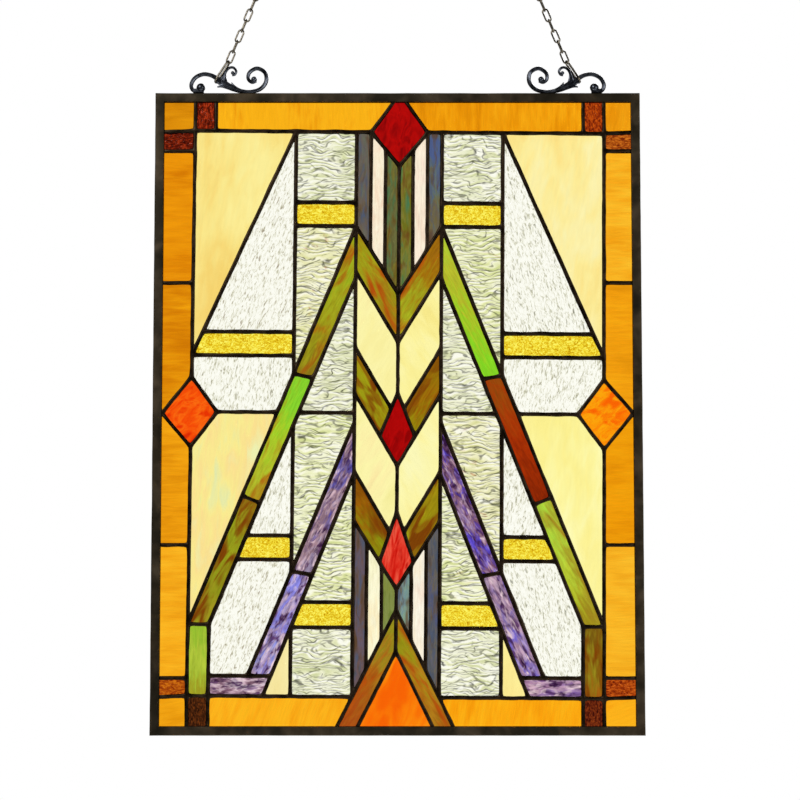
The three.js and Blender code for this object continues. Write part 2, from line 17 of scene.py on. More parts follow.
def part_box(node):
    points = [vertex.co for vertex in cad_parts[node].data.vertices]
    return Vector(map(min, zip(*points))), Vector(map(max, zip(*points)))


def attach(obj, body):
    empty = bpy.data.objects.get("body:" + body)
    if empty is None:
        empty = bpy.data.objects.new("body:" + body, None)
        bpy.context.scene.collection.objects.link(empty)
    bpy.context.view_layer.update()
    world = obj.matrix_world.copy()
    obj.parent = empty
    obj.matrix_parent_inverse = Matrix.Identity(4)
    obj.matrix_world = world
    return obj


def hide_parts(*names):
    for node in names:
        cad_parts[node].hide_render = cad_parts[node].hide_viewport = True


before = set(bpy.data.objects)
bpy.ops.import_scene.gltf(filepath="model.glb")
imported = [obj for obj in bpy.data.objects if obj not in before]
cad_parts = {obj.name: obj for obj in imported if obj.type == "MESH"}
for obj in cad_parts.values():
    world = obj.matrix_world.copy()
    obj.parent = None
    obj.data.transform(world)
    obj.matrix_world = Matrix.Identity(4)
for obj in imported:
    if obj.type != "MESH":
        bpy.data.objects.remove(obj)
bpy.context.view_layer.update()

metre = 1000.0

# Panel
frame_face = 8.5
frame_wall = 2.0
frame_lip = 1.4
frame_depth = 7.0
fit_gap = 0.3
rim_width = 1.0
bead_width = 3.8
web_width = 1.2
glass_half = 1.5
solder_foot = 1.53
solder_height = 1.25
groove_half = frame_depth / 2 - frame_lip

# Brackets
bracket_from_side = 58.5
bracket_depth = 5.0
arch_radius = 1.95
arch_root_radius = 2.3
volute_radius = 1.85
tendril_radius = 1.25

# Chains
ring_outer = 25.0
ring_wire = 2.5
link_pitch = 11.1
link_width = 6.8
link_wire = 1.7
link_bite = 0.1
long_link_length = 26.0
long_link_width = 9.9
long_link_wire = 2.1
long_link_lean = math.radians(33)
long_link_turn = math.radians(7)
chain_grip = (-0.6, 14.4)

# Camera, a little below the panel's middle and looking slightly up, in metres
camera_place = (0.0023, -1.993, -0.894)
camera_lens = 94.9
camera_sensor = 36
camera_reach = 50
camera_rise = math.radians(4.65)


def box_mm(node):
    low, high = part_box(node)
    return np.array(low) * metre, np.array(high) * metre


panel_low = np.min([box_mm(f"frame_{side}")[0] for side in ("bottom", "left")], axis=0)
panel_high = np.max([box_mm(f"frame_{side}")[1] for side in ("top", "right")], axis=0)
panel_width, _, panel_height = panel_high - panel_low
panel_top = panel_high[2]
panel_centre_z = (panel_high[2] + panel_low[2]) / 2
sight = np.array([panel_width, panel_height]) / 2 - frame_face
rim = np.array([panel_width, panel_height]) / 2 - frame_wall - fit_gap - rim_width


def make_camera():
    data = bpy.data.cameras.new("camera")
    data.sensor_width = camera_sensor
    data.lens = camera_lens
    data.clip_end = camera_reach
    camera = bpy.data.objects.new("camera", data)
    camera.location = camera_place
    camera.rotation_euler = (math.pi / 2 + camera_rise, 0, 0)
    bpy.context.scene.collection.objects.link(camera)
    bpy.context.scene.camera = camera


make_camera()


# Meshes
def make_piece(name, points, faces, material, slot, node, sharp=40):
    """A mesh in world millimetres as a piece that rides on the part and stands for its node."""
    mesh = bpy.data.meshes.new(name)
    mesh.from_pydata((np.asarray(points) / metre).tolist(), [], [list(face) for face in faces])
    mesh.validate()
    mesh.materials.append(material)
    mesh.polygons.foreach_set("use_smooth", [True] * len(mesh.polygons))
    mesh.set_sharp_from_angle(angle=math.radians(sharp))
    piece = bpy.data.objects.new(name, mesh)
    bpy.context.scene.collection.objects.link(piece)
    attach(piece, "root")
    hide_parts(node)
    return piece


def on_panel(flat, y):
    """World millimetres of panel points (u, v) at depth y."""
    flat = np.asarray(flat, float)
    depth = np.broadcast_to(np.asarray(y, float), (len(flat),))
    return np.column_stack([flat[:, 0], depth, flat[:, 1] + panel_centre_z])


wave_sizes = (0.6, 1.7)


class Waves:
    """Smooth seeded noise over the panel: a sum of sines with random directions, about -1 to 1."""

    def __init__(self, seed, size, count=9, squash=(1.0, 1.0)):
        random = np.random.default_rng(seed)
        angle = random.uniform(0, 2 * math.pi, count)
        rate = 2 * math.pi / (size * random.uniform(*wave_sizes, count))
        ways = np.column_stack([np.cos(angle) * squash[0], np.sin(angle) * squash[1]])
        self.rates = ways * rate[:, None]
        self.phases = random.uniform(0, 2 * math.pi, count)

    def __call__(self, flat):
        total = np.sin(np.asarray(flat) @ self.rates.T + self.phases).sum(axis=1)
        return total / math.sqrt(len(self.phases))


# Panes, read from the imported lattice
same_place = 0.01
rim_slack = 0.05
eye_distance = 100


def front_loops(node):
    """The outlines of a node's foremost flat face, each as panel points with the solid on the left."""
    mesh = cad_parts[node].data
    points = np.array([vertex.co for vertex in mesh.vertices]) * metre
    front = points[:, 1].min()
    onward = {}
    for polygon in mesh.polygons:
        if points[list(polygon.vertices), 1].max() > front + same_place:
            continue
        ring = [tuple(np.round(points[i, [0, 2]] - (0, panel_centre_z), 3)) for i in polygon.vertices]
        for start, end in zip(ring, ring[1:] + ring[:1]):
            if end in onward and start in onward[end]:
                onward[end].remove(start)
            else:
                onward.setdefault(start, []).append(end)
    loops = []
    while any(onward.values()):
        start = next(point for point, ends in onward.items() if ends)
        loop = [start]
        while onward[loop[-1]]:
            loop.append(onward[loop[-1]].pop())
        loops.append(np.array(loop[:-1]))
    return loops


def straightened(loop):
    """A closed outline without the points that lie on a straight run."""
    before, after = np.roll(loop, 1, axis=0), np.roll(loop, -1, axis=0)
    run = after - before
    offset = loop - before
    bend = np.abs(run[:, 0] * offset[:, 1] - run[:, 1] * offset[:, 0]) / np.hypot(*run.T)
    return loop[bend > same_place]


def pane_chains(loops):
    """For each pane, the edges of its opening that are solder."""
    outer = max(loops, key=lambda loop: np.ptp(loop[:, 0]))
    chains = [list(zip(loop, np.roll(loop, -1, axis=0))) for loop in loops if loop is not outer]
    reach = np.abs(outer).max(axis=0)
    edges = list(zip(outer, np.roll(outer, -1, axis=0)))
    at_frame = [bool(np.any(np.abs((np.abs(a) + np.abs(b)) / 2 - reach) < same_place))
                for a, b in edges]
    first = at_frame.index(True)
    chain = []
    for edge, outside in zip(edges[first:] + edges[:first], at_frame[first:] + at_frame[:first]):
        if not outside:
            chain.append(edge)
        elif chain:
            chains.append(chain)
            chain = []
    return chains + [chain] if chain else chains


def clipped(polygon, start, along, reach):
    """The part of a convex polygon no further than reach to the left of a line."""
    side = along[0] * (polygon[:, 1] - start[1]) - along[1] * (polygon[:, 0] - start[0]) - reach
    kept = []
    for i, point in enumerate(polygon):
        k = (i + 1) % len(polygon)
        if side[i] <= 0:
            kept.append(point)
        if side[i] * side[k] < 0:
            kept.append(point + (polygon[k] - point) * side[i] / (side[i] - side[k]))
    return np.array(kept)


def pane_outline(chain):
    """The convex outline of a pane, out to the middle of its solder lines and to the frame's rim."""
    polygon = np.array([[-1, -1], [1, -1], [1, 1], [-1, 1]]) * rim
    for start, end in chain:
        along = (end - start) / np.hypot(*(end - start))
        polygon = clipped(polygon, start, along, bead_width / 2)
    return polygon


def centre_of(polygon):
    return polygon.mean(axis=0)


def glass_nodes():
    metals = ("frame", "solder", "bracket", "chain", "hang")
    return [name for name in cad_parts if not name.startswith(metals)]


def named_panes():
    """The panes as (node, outline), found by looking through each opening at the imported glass."""
    trees = {}
    for name in glass_nodes():
        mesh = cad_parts[name].data
        faces = [list(polygon.vertices) for polygon in mesh.polygons]
        trees[name] = BVHTree.FromPolygons([vertex.co for vertex in mesh.vertices], faces)
    groups = {name: [] for name in trees}
    for chain in pane_chains([straightened(loop) for loop in front_loops("solder_lattice")]):
        outline = pane_outline(chain)
        u, v = centre_of(outline)
        eye = Vector((u, -eye_distance, v + panel_centre_z)) / metre
        node = next(name for name, tree in trees.items() if tree.ray_cast(eye, Vector((0, 1, 0)))[0])
        groups[node].append(outline)
    return groups


def order(node, outline):
    """Sorts the panes of one node: left to right, outwards round a corner, or top to bottom."""
    u, v = centre_of(outline)
    if node.startswith(("stripes", "chevron", "pyramid")):
        return u
    if node.startswith("border_corner"):
        return abs(u) - abs(v)
    return -v


def parted_at_tips(groups):
    """Border panes on either side of a diamond's outer tip stop at the tip's height."""
    for label in ("left", "right"):
        diamond = groups[f"diamond_side_{label}"][0]
        tip = diamond[np.argmax(np.abs(diamond[:, 0]))]
        for node in (f"border_side_upper_{label}", f"border_side_lower_{label}"):
            for i, outline in enumerate(groups[node]):
                way = 1 if centre_of(outline)[1] < tip[1] else -1
                groups[node][i] = clipped(outline, tip, (way, 0), 0)
    return groups


pane_groups = parted_at_tips(named_panes())
panes = []
for node_name, outlines in pane_groups.items():
    ordered = sorted(outlines, key=lambda outline: order(node_name, outline))
    panes += [(node_name, i, outline) for i, outline in enumerate(ordered)]


def is_rim(start, end):
    """Whether an edge of a pane lies under the frame."""
    near = (np.abs(np.abs(start) - rim) < rim_slack) & (np.abs(np.abs(end) - rim) < rim_slack)
    return bool(np.any(near & (np.abs(start - end) < rim_slack)))


def inset(polygon, amounts):
    """A counter-clockwise convex polygon with each edge moved in by its own amount."""
    starts = polygon
    ends = np.roll(polygon, -1, axis=0)
    along = (ends - starts) / np.hypot(*(ends - starts).T)[:, None]
    inward = np.column_stack([-along[:, 1], along[:, 0]])
    moved = starts + inward * np.asarray(amounts)[:, None]
    corners = []
    for i in range(len(polygon)):
        k = i - 1
        cross = along[k][0] * along[i][1] - along[k][1] * along[i][0]
        gap = moved[i] - moved[k]
        share = (gap[0] * along[i][1] - gap[1] * along[i][0]) / cross
        corners.append(moved[k] + along[k] * share)
    return np.array(corners)


def edge_amounts(polygon, solder, under_frame):
    ends = np.roll(polygon, -1, axis=0)
    return [under_frame if is_rim(a, b) else solder for a, b in zip(polygon, ends)]


# Solder: every pane owns the strip of lattice round it, from its lines' middles to its bead's edge.
# Beads swell at their joints, sway in width and height, and sink where they reach the frame.
weld_reach = 0.1
sample_gap = 3.0
bead_steps = (0.38, 0.7, 0.9, 1.0)
bead_roundness = 2.1
bead_level = 0.88
bead_sway = 0.12
least_height = 0.25
joint_rise = 0.14
joint_rise_reach = 3.2
joint_swell = 0.2
joint_swell_reach = 3.5
edge_sway = 0.2
edge_ripple = 0.1
edge_recess = 0.22
edge_limits = (-0.45, 1.0)
edge_smoothing = 0.3
side_swell = 0.2
shelter_start = 0.6
shelter_reach = 1.6
bead_under_frame = 0.25
web_under_frame = 0.12
back_seed = 500
back_shift = 7
seed_step = 37.0
seed_count = 97
width_waves = Waves(11, 26)
fine_waves = Waves(12, 9)
height_waves = Waves(13, 30)


class Weld:
    """Gives the corners that several outlines share one number."""

    def __init__(self):
        self.points = []

    def number(self, point):
        for i, other in enumerate(self.points):
            if np.hypot(*(point - other)) < weld_reach:
                return i
        self.points.append(np.array(point))
        return len(self.points) - 1

    def between(self, a, b):
        """The corners that lie on the run from a to b, in order, with a but not b."""
        start, end = self.points[a], self.points[b]
        run = end - start
        length = np.hypot(*run)
        found = []
        for i, point in enumerate(self.points):
            offset = point - start
            along = offset @ run / length
            across = abs(run[0] * offset[1] - run[1] * offset[0]) / length
            if across < weld_reach and weld_reach < along < length - weld_reach:
                found.append((along, i))
        return [a] + [i for _, i in sorted(found)]


def smoothed(loop):
    between = (np.roll(loop, 1, axis=0) + np.roll(loop, -1, axis=0)) / 2
    return loop + edge_smoothing * (between - loop)


def joint_distance(flat, joints):
    return np.min(np.hypot(*(flat[:, None] - joints[None]).transpose(2, 0, 1)), axis=1)


def bead_height(flat, joints, seed):
    """How high the solder stands over its lines' middles: more at a joint, less beside the frame."""
    joint = np.exp(-(joint_distance(flat, joints) / joint_rise_reach) ** 2)
    inside = np.min(sight - shelter_start - np.abs(flat), axis=1)
    shelter = np.clip(inside / shelter_reach, 0, 1)
    level = bead_level + bead_sway * height_waves(flat + seed) + joint_rise * joint
    return least_height + (solder_height * level - least_height) * shelter


def pane_strip(weld, outline, ring):
    """Points round a pane: the key each is shared under, its place on the solder line's middle, and
    the edges of the bead and of the web beside it."""
    tight = inset(outline, edge_amounts(outline, bead_width / 2, bead_under_frame))
    web = inset(outline, edge_amounts(outline, web_width / 2, web_under_frame))
    keys, spine, edge, inner = [], [], [], []
    for i, a in enumerate(ring):
        k = (i + 1) % len(ring)
        stops = weld.between(a, ring[k]) + [ring[k]]
        whole = np.hypot(*(weld.points[ring[k]] - weld.points[a]))
        for p, q in zip(stops, stops[1:]):
            start, end = weld.points[p], weld.points[q]
            count = max(1, round(np.hypot(*(end - start)) / sample_gap))
            for step in range(count):
                flat = start + (end - start) * step / count
                inner_key = (p, q, step) if p < q else (q, p, count - step)
                part = np.hypot(*(flat - weld.points[a])) / whole
                keys.append(inner_key if step else p)
                spine.append(flat)
                edge.append(tight[i] + (tight[k] - tight[i]) * part)
                inner.append(web[i] + (web[k] - web[i]) * part)
    return keys, np.array(spine), np.array(edge), np.array(inner)


def bead_edges(node, spine, edge, joints, seed):
    """A bead's uneven edges on the front and on the back, and which of its points the frame hides."""
    rough = edge_sway * width_waves(edge + seed) + edge_ripple * fine_waves(edge + seed)
    swell = joint_swell * np.exp(-(joint_distance(spine, joints) / joint_swell_reach) ** 2)
    rough = rough - edge_recess + swell + extra_width(node)
    outward = edge - spine
    outward /= np.maximum(np.hypot(*outward.T), same_place)[:, None]
    hidden = np.any(np.abs(spine) > rim - rim_slack, axis=1)
    rough = np.where(hidden, 0, np.clip(rough, *edge_limits))
    rough_back = np.roll(rough, back_shift) * ~hidden
    fronts, backs = [smoothed(edge + outward * amount[:, None]) for amount in (rough, rough_back)]
    return fronts, backs, hidden


def lattice_mesh():
    weld = Weld()
    rings = [[weld.number(point) for point in outline] for _, _, outline in panes]
    joints = np.array(weld.points)
    points, faces, shared = [], [], {}

    def add(flat, y):
        points.append((flat[0], y, flat[1]))
        return len(points) - 1

    def middle(key, flat):
        """The shared points on a solder line's middle, on the front and on the back."""
        if key not in shared:
            low, high = [bead_height(flat[None], joints, seed)[0] for seed in (0, back_seed)]
            shared[key] = (add(flat, -solder_foot - low), add(flat, solder_foot + high))
        return shared[key]

    for (node, _, outline), ring in zip(panes, rings):
        seed = seed_step * (len(points) % seed_count)
        keys, spine, edge, inner = pane_strip(weld, outline, ring)
        fronts, backs, hidden = bead_edges(node, spine, edge, joints, seed)
        middles = [middle(key, flat) for key, flat in zip(keys, spine)]
        halves = []
        for side, face, border, height_seed in ((-1, 0, fronts, 0), (1, 1, backs, back_seed)):
            heights = bead_height(spine, joints, height_seed)
            rows = [[pair[face] for pair in middles]]
            for share in bead_steps:
                fall = math.sqrt(max(0, 1 - share ** bead_roundness))
                flat = spine + (border - spine) * share
                rows.append([add(f, side * (solder_foot + h * fall)) for f, h in zip(flat, heights)])
            rows.append([add(f, side * solder_foot) for f in inner])
            halves.append(rows)
        rows = halves[0] + halves[1][::-1]
        total = len(keys)
        for first, second in zip(rows, rows[1:]):
            for i in range(total):
                k = (i + 1) % total
                faces.append((first[i], first[k], second[k], second[i]))
        for i in range(total):
            k = (i + 1) % total
            if hidden[i] and hidden[k]:
                first, last = middles[i], middles[k]
                faces.append((first[0], first[1], last[1], last[0]))
    flat = np.array(points)
    flat[:, 2] += panel_centre_z
    return flat, faces


def extra_width(node):
    """Solder spreads further beside the rippled, clear and purple panes."""
    return side_swell if node.startswith(("ripple", "clear", "purple")) else 0.0


# Glass: rows of triangles, a relief on the front, and a share along the pane for its colours
row_rise = 0.866
border_clearance = 0.55
mesh_slack = 1e-4
ripple_spacing = 6.2
upright_share = 0.35


def spaced_outline(polygon, gap):
    points = []
    for start, end in zip(polygon, np.roll(polygon, -1, axis=0)):
        count = max(1, round(np.hypot(*(end - start)) / gap))
        points += [start + (end - start) * i / count for i in range(count)]
    return np.array(points)


def within(points, polygon, margin):
    ends = np.roll(polygon, -1, axis=0)
    along = (ends - polygon) / np.hypot(*(ends - polygon).T)[:, None]
    offset = points[:, None] - polygon[None]
    depth = along[None, :, 0] * offset[:, :, 1] - along[None, :, 1] * offset[:, :, 0]
    return depth.min(axis=1) > margin


def pane_triangles(polygon, gap):
    """Points and triangles that cover a convex pane; the first points are its outline in order."""
    border = spaced_outline(polygon, gap)
    low, high = polygon.min(axis=0), polygon.max(axis=0)
    across, up = np.arange(low[0], high[0], gap), np.arange(low[1], high[1], gap * row_rise)
    grid = np.array([(u + (row % 2) * gap / 2, v) for row, v in enumerate(up) for u in across])
    inside = grid[within(grid, polygon, gap * border_clearance)] if len(grid) else grid
    points = np.vstack([border, inside]) if len(inside) else border
    edges = [(i, (i + 1) % len(border)) for i in range(len(border))]
    flat, _, triangles, *_ = delaunay_2d_cdt([Vector(p) for p in points], edges, [], 1, mesh_slack)
    return np.array(flat), [list(t) for t in triangles], len(border)


def relief_smooth(flat, seed):
    """Rolled glass, hardly uneven."""
    return 0.06 * (1 + Waves(seed, 40, 5)(flat) / 3)


def relief_ripple(flat, seed):
    """Long crests that run across the pane, waver, split and die out."""
    warp = 2.6 * Waves(seed, 34, 7)(flat) + 1.1 * Waves(seed + 1, 13, 7)(flat)
    strength = 0.6 + 0.4 * Waves(seed + 2, 16)(flat)
    crest = np.abs(np.sin((flat[:, 1] + warp) * math.pi / ripple_spacing)) ** 0.7
    return np.clip(0.42 * crest * strength, 0, 0.75)


def relief_hammer(flat, seed):
    grain = Waves(seed, 3.6, 14, squash=(1.5, 0.6))(flat)
    return np.clip(0.2 + 0.12 * grain, 0, 0.5)


def relief_granite(flat, seed):
    grain = Waves(seed, 4.4, 12)(flat)
    return np.clip(0.35 * np.exp(-(grain / 0.35) ** 2), 0, 0.4)


def make_pane(node, index, outline, look):
    polygon = inset(outline, edge_amounts(outline, web_width / 2 + fit_gap, fit_gap))
    seed = sum(map(ord, node)) * 7 + index * 31
    flat, triangles, rim_count = pane_triangles(polygon, look["gap"])
    front = look["relief"](flat, seed)
    back = relief_smooth(flat, seed + 5)
    count = len(flat)
    points = np.vstack([on_panel(flat, front - glass_half), on_panel(flat, glass_half - back)])
    faces = [tuple(t) for t in triangles]
    faces += [tuple(i + count for i in reversed(t)) for t in triangles]
    for i in range(rim_count):
        k = (i + 1) % rim_count
        faces.append((k, i, i + count, k + count))
    name = f"{node}_pane_{index + 1}"
    piece = make_piece(name, points, faces, look["material"], look["slot"], node, sharp=50)
    axis = pane_axis(outline)
    along = (flat - centre_of(outline)) @ axis
    share = (along - along.min()) / np.ptp(along)
    attribute = piece.data.attributes.new("share", "FLOAT", "POINT")
    attribute.data.foreach_set("value", np.tile(share, 2))


def pane_axis(outline):
    """A pane's long direction, pointing down or to the right."""
    spread = outline - centre_of(outline)
    values, vectors = np.linalg.eigh(spread.T @ spread)
    axis = vectors[:, np.argmax(values)]
    if abs(axis[1]) > upright_share:
        return axis * -np.sign(axis[1])
    return axis * np.sign(axis[0])


# Materials
def linear(colour):
    """A six-digit colour as the renderer's linear values."""
    parts = [int(colour[i:i + 2], 16) / 255 for i in (0, 2, 4)]
    return [p / 12.92 if p <= 0.04045 else ((p + 0.055) / 1.055) ** 2.4 for p in parts] + [1.0]


class Material:
    """A material under construction, with short ways to add and join its nodes."""

    def __init__(self, name, **values):
        self.material = bpy.data.materials.new(name)
        self.material.use_nodes = True
        self.tree = self.material.node_tree
        self.shader = self.tree.nodes["Principled BSDF"]
        for socket, value in values.items():
            self.shader.inputs[socket.replace("_", " ")].default_value = value

    def add(self, kind, inputs=None, **settings):
        node = self.tree.nodes.new(f"ShaderNode{kind}")
        for key, value in settings.items():
            setattr(node, key, value)
        for key, value in (inputs or {}).items():
            if isinstance(value, bpy.types.NodeSocket):
                self.tree.links.new(value, node.inputs[key])
            else:
                node.inputs[key].default_value = value
        return node

    def math(self, operation, *values):
        return self.add("Math", dict(enumerate(values)), operation=operation).outputs[0]

    def centred(self, value):
        """A share about one half, moved to lie about zero."""
        return self.math("SUBTRACT", value, 0.5)

    def faded(self, value, start, full, most=1.0):
        """Nothing up to start, then rising to its most at full."""
        return self.add("MapRange", {0: value, 1: start, 2: full, 4: most}).outputs[0]

    def place(self, turn=0.0, stretch=1.0, offset=0.0):
        """Object coordinates in millimetres, turned on the panel and squeezed along their own X."""
        spot = self.add("TexCoord").outputs["Object"]
        rotation = (0, math.radians(turn), 0)
        turned = self.add("Mapping", {"Vector": spot, "Rotation": rotation}).outputs[0]
        scale = (metre / stretch, metre, metre)
        inputs = {"Vector": turned, "Scale": scale, "Location": (offset,) * 3}
        return self.add("Mapping", inputs).outputs[0]

    def noise(self, where, size, detail=2.0, distortion=0.0, roughness=0.5):
        inputs = {"Vector": where, "Scale": 1 / size, "Detail": detail, "Distortion": distortion,
                  "Roughness": roughness}
        return self.add("TexNoise", inputs).outputs[0]

    def ramp(self, value, stops):
        node = self.add("ValToRGB", {0: value})
        elements = node.color_ramp.elements
        while len(elements) < len(stops):
            elements.new(0.5)
        for element, (position, colour) in zip(elements, stops):
            element.position = position
            element.color = linear(colour)
        return node.outputs[0]

    def mix(self, share, first, second, blend="MIX"):
        node = self.add("Mix", data_type="RGBA", blend_type=blend)
        for key, value in ((0, share), (6, first), (7, second)):
            if isinstance(value, bpy.types.NodeSocket):
                self.tree.links.new(value, node.inputs[key])
            else:
                node.inputs[key].default_value = value
        return node.outputs[2]

    def attribute(self, name):
        return self.add("Attribute", attribute_name=name).outputs["Fac"]

    def finish(self, colour=None, roughness=None, height=None, bump=0.1, reach=0.0005):
        if colour is not None:
            self.tree.links.new(colour, self.shader.inputs["Base Color"])
        if roughness is not None:
            self.tree.links.new(roughness, self.shader.inputs["Roughness"])
        if height is not None:
            node = self.add("Bump", {"Height": height, "Strength": bump, "Distance": reach})
            self.tree.links.new(node.outputs[0], self.shader.inputs["Normal"])
        return self.material


def new_glass(name, roughness, bend=1.2):
    return Material(name, Roughness=roughness, Transmission_Weight=1.0, IOR=bend)


def art_glass(name, stops, turn, seed, veins=(), streak=5.0, size=9.0, swirl=0.6, drift=0.0,
              grain=0.12, warp=0.45, cloud=0.25, vein_size=7.0):
    """Coloured glass: stops laid out in streaks, or one after another along the pane where it drifts.

    Veins are streaks of another colour, each given as (colour, where it starts, where it is full)."""
    glass = new_glass(name, 0.16, bend=1.15)
    streaks = glass.noise(glass.place(turn, streak, seed * 17.3), size, 3.0, swirl)
    broad = glass.noise(glass.place(turn, 2.0, seed * 5.1), size * 5, 1.0)
    wobble = glass.math("MULTIPLY_ADD", glass.centred(streaks), 2.4 * warp, 0.5)
    wobble = glass.math("ADD", wobble, glass.math("MULTIPLY", glass.centred(broad), 2 * cloud))
    if drift:
        share = glass.centred(glass.attribute("share"))
        wobble = glass.math("ADD", wobble, glass.math("MULTIPLY", share, drift))
    colour = glass.ramp(wobble, stops)
    for i, (vein_tint, start, full) in enumerate(veins):
        where = glass.place(turn, streak, seed * 9.1 + 23 * i + 7)
        spot = glass.noise(where, vein_size, 2.0, 0.9)
        colour = glass.mix(glass.faded(spot, start, full), colour, linear(vein_tint))
    fine = glass.noise(glass.place(turn, streak * 2, seed * 3.7), size / 4, 2.0)
    shade = glass.math("MULTIPLY_ADD", glass.centred(fine), 2 * grain, 1.0)
    grey = glass.add("CombineColor", {0: shade, 1: shade, 2: shade}).outputs[0]
    shaded = glass.mix(1.0, colour, grey, "MULTIPLY")
    return glass.finish(shaded, height=streaks, bump=0.12, reach=0.0004)


# Painted shade: ripple_shadow colours the dark lines along the ripples, standing for darker
# surroundings seen through the glass
ripple_shadow = "1c1e0c"
ripple_rust = "b4562a"
stain_tint = "1c1c16"


def wave_lines(glass, spacing, wander, seed):
    """The slopes of ripples that wander up and down a pane, and thin broken lines along them where
    painted shade goes.
    """
    place = glass.place(0.0, 1.7, seed)
    height = glass.add("SeparateXYZ", {0: place}).outputs[2]
    drift = glass.noise(place, 13.0, 1.0)
    level = glass.math("MULTIPLY_ADD", glass.centred(drift), wander, height)
    phase = glass.math("MULTIPLY", level, 2 * math.pi / spacing)
    line = glass.faded(glass.math("SINE", phase), 0.7, 0.97)
    # The slope also drives painted shade: in wave_glass it darkens one side of each ripple
    slope = glass.math("SINE", glass.math("ADD", phase, 1.3))
    broken = glass.noise(glass.place(0.0, 2.2, seed + 40), 5.5, 2.0)
    return slope, glass.math("MULTIPLY", line, glass.faded(broken, 0.43, 0.53))


def wave_glass(name, seed, body, rust):
    """Pale glass with long ripple lines of painted shade, each ripple with painted shade down one side,
    and rusty spots.
    """
    glass = new_glass(name, 0.03)
    slope, first = wave_lines(glass, 4.4, 20.0, seed * 13.1)
    _, second = wave_lines(glass, 6.8, 28.0, seed * 13.1 + 71)
    cloud = glass.noise(glass.place(0.0, 1.8, seed), 16, 3.0, 0.6)
    # Random cloud plus painted shade down one side of each ripple, from the slope
    cloud_and_painted_shade = glass.math("MULTIPLY_ADD", slope, 0.22, cloud)
    colour = glass.ramp(cloud_and_painted_shade, list(zip((0.2, 0.42, 0.6, 0.8), body)))
    if rust:
        spot = glass.noise(glass.place(0.0, 2.0, seed * 3), 14, 3.0, 2.0)
        colour = glass.mix(glass.faded(spot, 0.66, 0.72, rust), colour, linear(ripple_rust))
    # Painted shade: thin dark lines laid along the ripples, standing for darker surroundings seen
    # through the glass
    lines = glass.math("MULTIPLY", glass.math("MAXIMUM", first, second), 0.85)
    colour = glass.mix(lines, colour, linear(ripple_shadow))
    return glass.finish(colour, height=slope, bump=0.2, reach=0.0004)


def grain_glass(name, seed, turn, dark):
    """Near white hammered glass with fine slanting strokes of painted shade along its hammered relief.
    """
    glass = new_glass(name, 0.05)
    grain = glass.noise(glass.place(turn, 3.4, seed * 7.7), 1.6, 2.0, 0.8)
    # Painted shade: grey strokes where the hammered relief dips, standing for darker surroundings seen
    # through the glass
    colour = glass.ramp(grain, [(0.28, dark), (0.37, "c9c8ac"), (0.43, "f3f2e2"), (0.5, "fefef4")])
    return glass.finish(colour, height=grain, bump=0.3, reach=0.0004)


def granite_glass(name, seed):
    """Yellow glass with brownish squiggles."""
    glass = new_glass(name, 0.05)
    squiggle = glass.centred(glass.noise(glass.place(0.0, 1.3, seed * 5.3), 4.0, 2.0, 1.6))
    depth = glass.math("ABSOLUTE", squiggle)
    stops = [(0.0, "a06c06"), (0.02, "dca808"), (0.045, "fbe224"), (0.12, "fff668")]
    return glass.finish(glass.ramp(depth, stops), height=depth, bump=0.4, reach=0.0004)


def brown_glass(name, turn, seed, dark, middle, light):
    """Deep brown glass rippled along its length."""
    glass = new_glass(name, 0.08)
    ripple = glass.noise(glass.place(turn, 2.6, seed * 4.9), 2.2, 3.0, 1.8)
    colour = glass.ramp(ripple, [(0.36, dark), (0.5, middle), (0.6, light), (0.7, middle)])
    return glass.finish(colour, height=ripple, bump=0.4, reach=0.0005)


def patina(name, base, light, size, rough, bump=0.15, stain=0.0):
    """Darkened metal: cloudy colour, dark stains, uneven gloss and a faintly pitted surface."""
    metal = Material(name, Metallic=1.0)
    where = metal.place()
    cloud = metal.noise(where, size, 4.0, 0.5)
    colour = metal.ramp(cloud, [(0.35, base), (0.7, light)])
    if stain:
        blot = metal.noise(where, size * 3, 3.0, 1.2)
        colour = metal.mix(metal.faded(blot, 0.42, 0.6, stain), colour, linear(stain_tint))
    gloss = metal.add("MapRange", {0: cloud, 3: rough - 0.1, 4: rough + 0.12}).outputs[0]
    pits = metal.noise(where, 0.9, 3.0)
    return metal.finish(colour, gloss, pits, bump, 0.0002)


solder_metal = patina("solder_patina", "1c150e", "3a2e22", 9, 0.4, 0.35)
frame_metal = patina("frame_patina", "3a3226", "54493a", 18, 0.5, stain=0.65)
bracket_metal = patina("bracket_black", "2a2c31", "5a5e66", 5, 0.3, 0.12)
chain_metal = patina("chain_gunmetal", "4c463c", "989080", 3, 0.28)


# Which glass each pane is cut from, pane by pane in the order of its node
def glass_look(material, slot, gap=6.0, relief=relief_smooth):
    return {"material": material, "slot": slot, "gap": gap, "relief": relief}


looks = {}
pane_step = 3.1


def tints(colours, turn, veins=(), starts=None):
    """A pane's colours, its streaks' direction in degrees, its veins and where each colour starts."""
    listed = colours.split()
    if starts is None:
        starts = [i / (len(listed) - 1) for i in range(len(listed))]
    return list(zip(starts, listed)), turn, veins


def art_looks(name, family, *rows):
    """One look for each row of tints. The name's first word gives the slot, its length the seed."""
    slot = name.split("_")[0] + "_glass"
    found = []
    for i, (stops, turn, veins) in enumerate(rows):
        seed = i * pane_step + len(name)
        found.append(glass_look(art_glass(f"{name}_{i + 1}", stops, turn, seed, veins, **family), slot))
    return found


def glaze(node, name, family, *rows):
    looks[node] = art_looks(name, family, *rows)


def glaze_both(node, name, family, left, right):
    """The panes on the left and on the right, each side with a list of its own tints."""
    glaze(f"{node}_left", f"{name}_left", family, *left)
    glaze(f"{node}_right", f"{name}_right", family, *right)


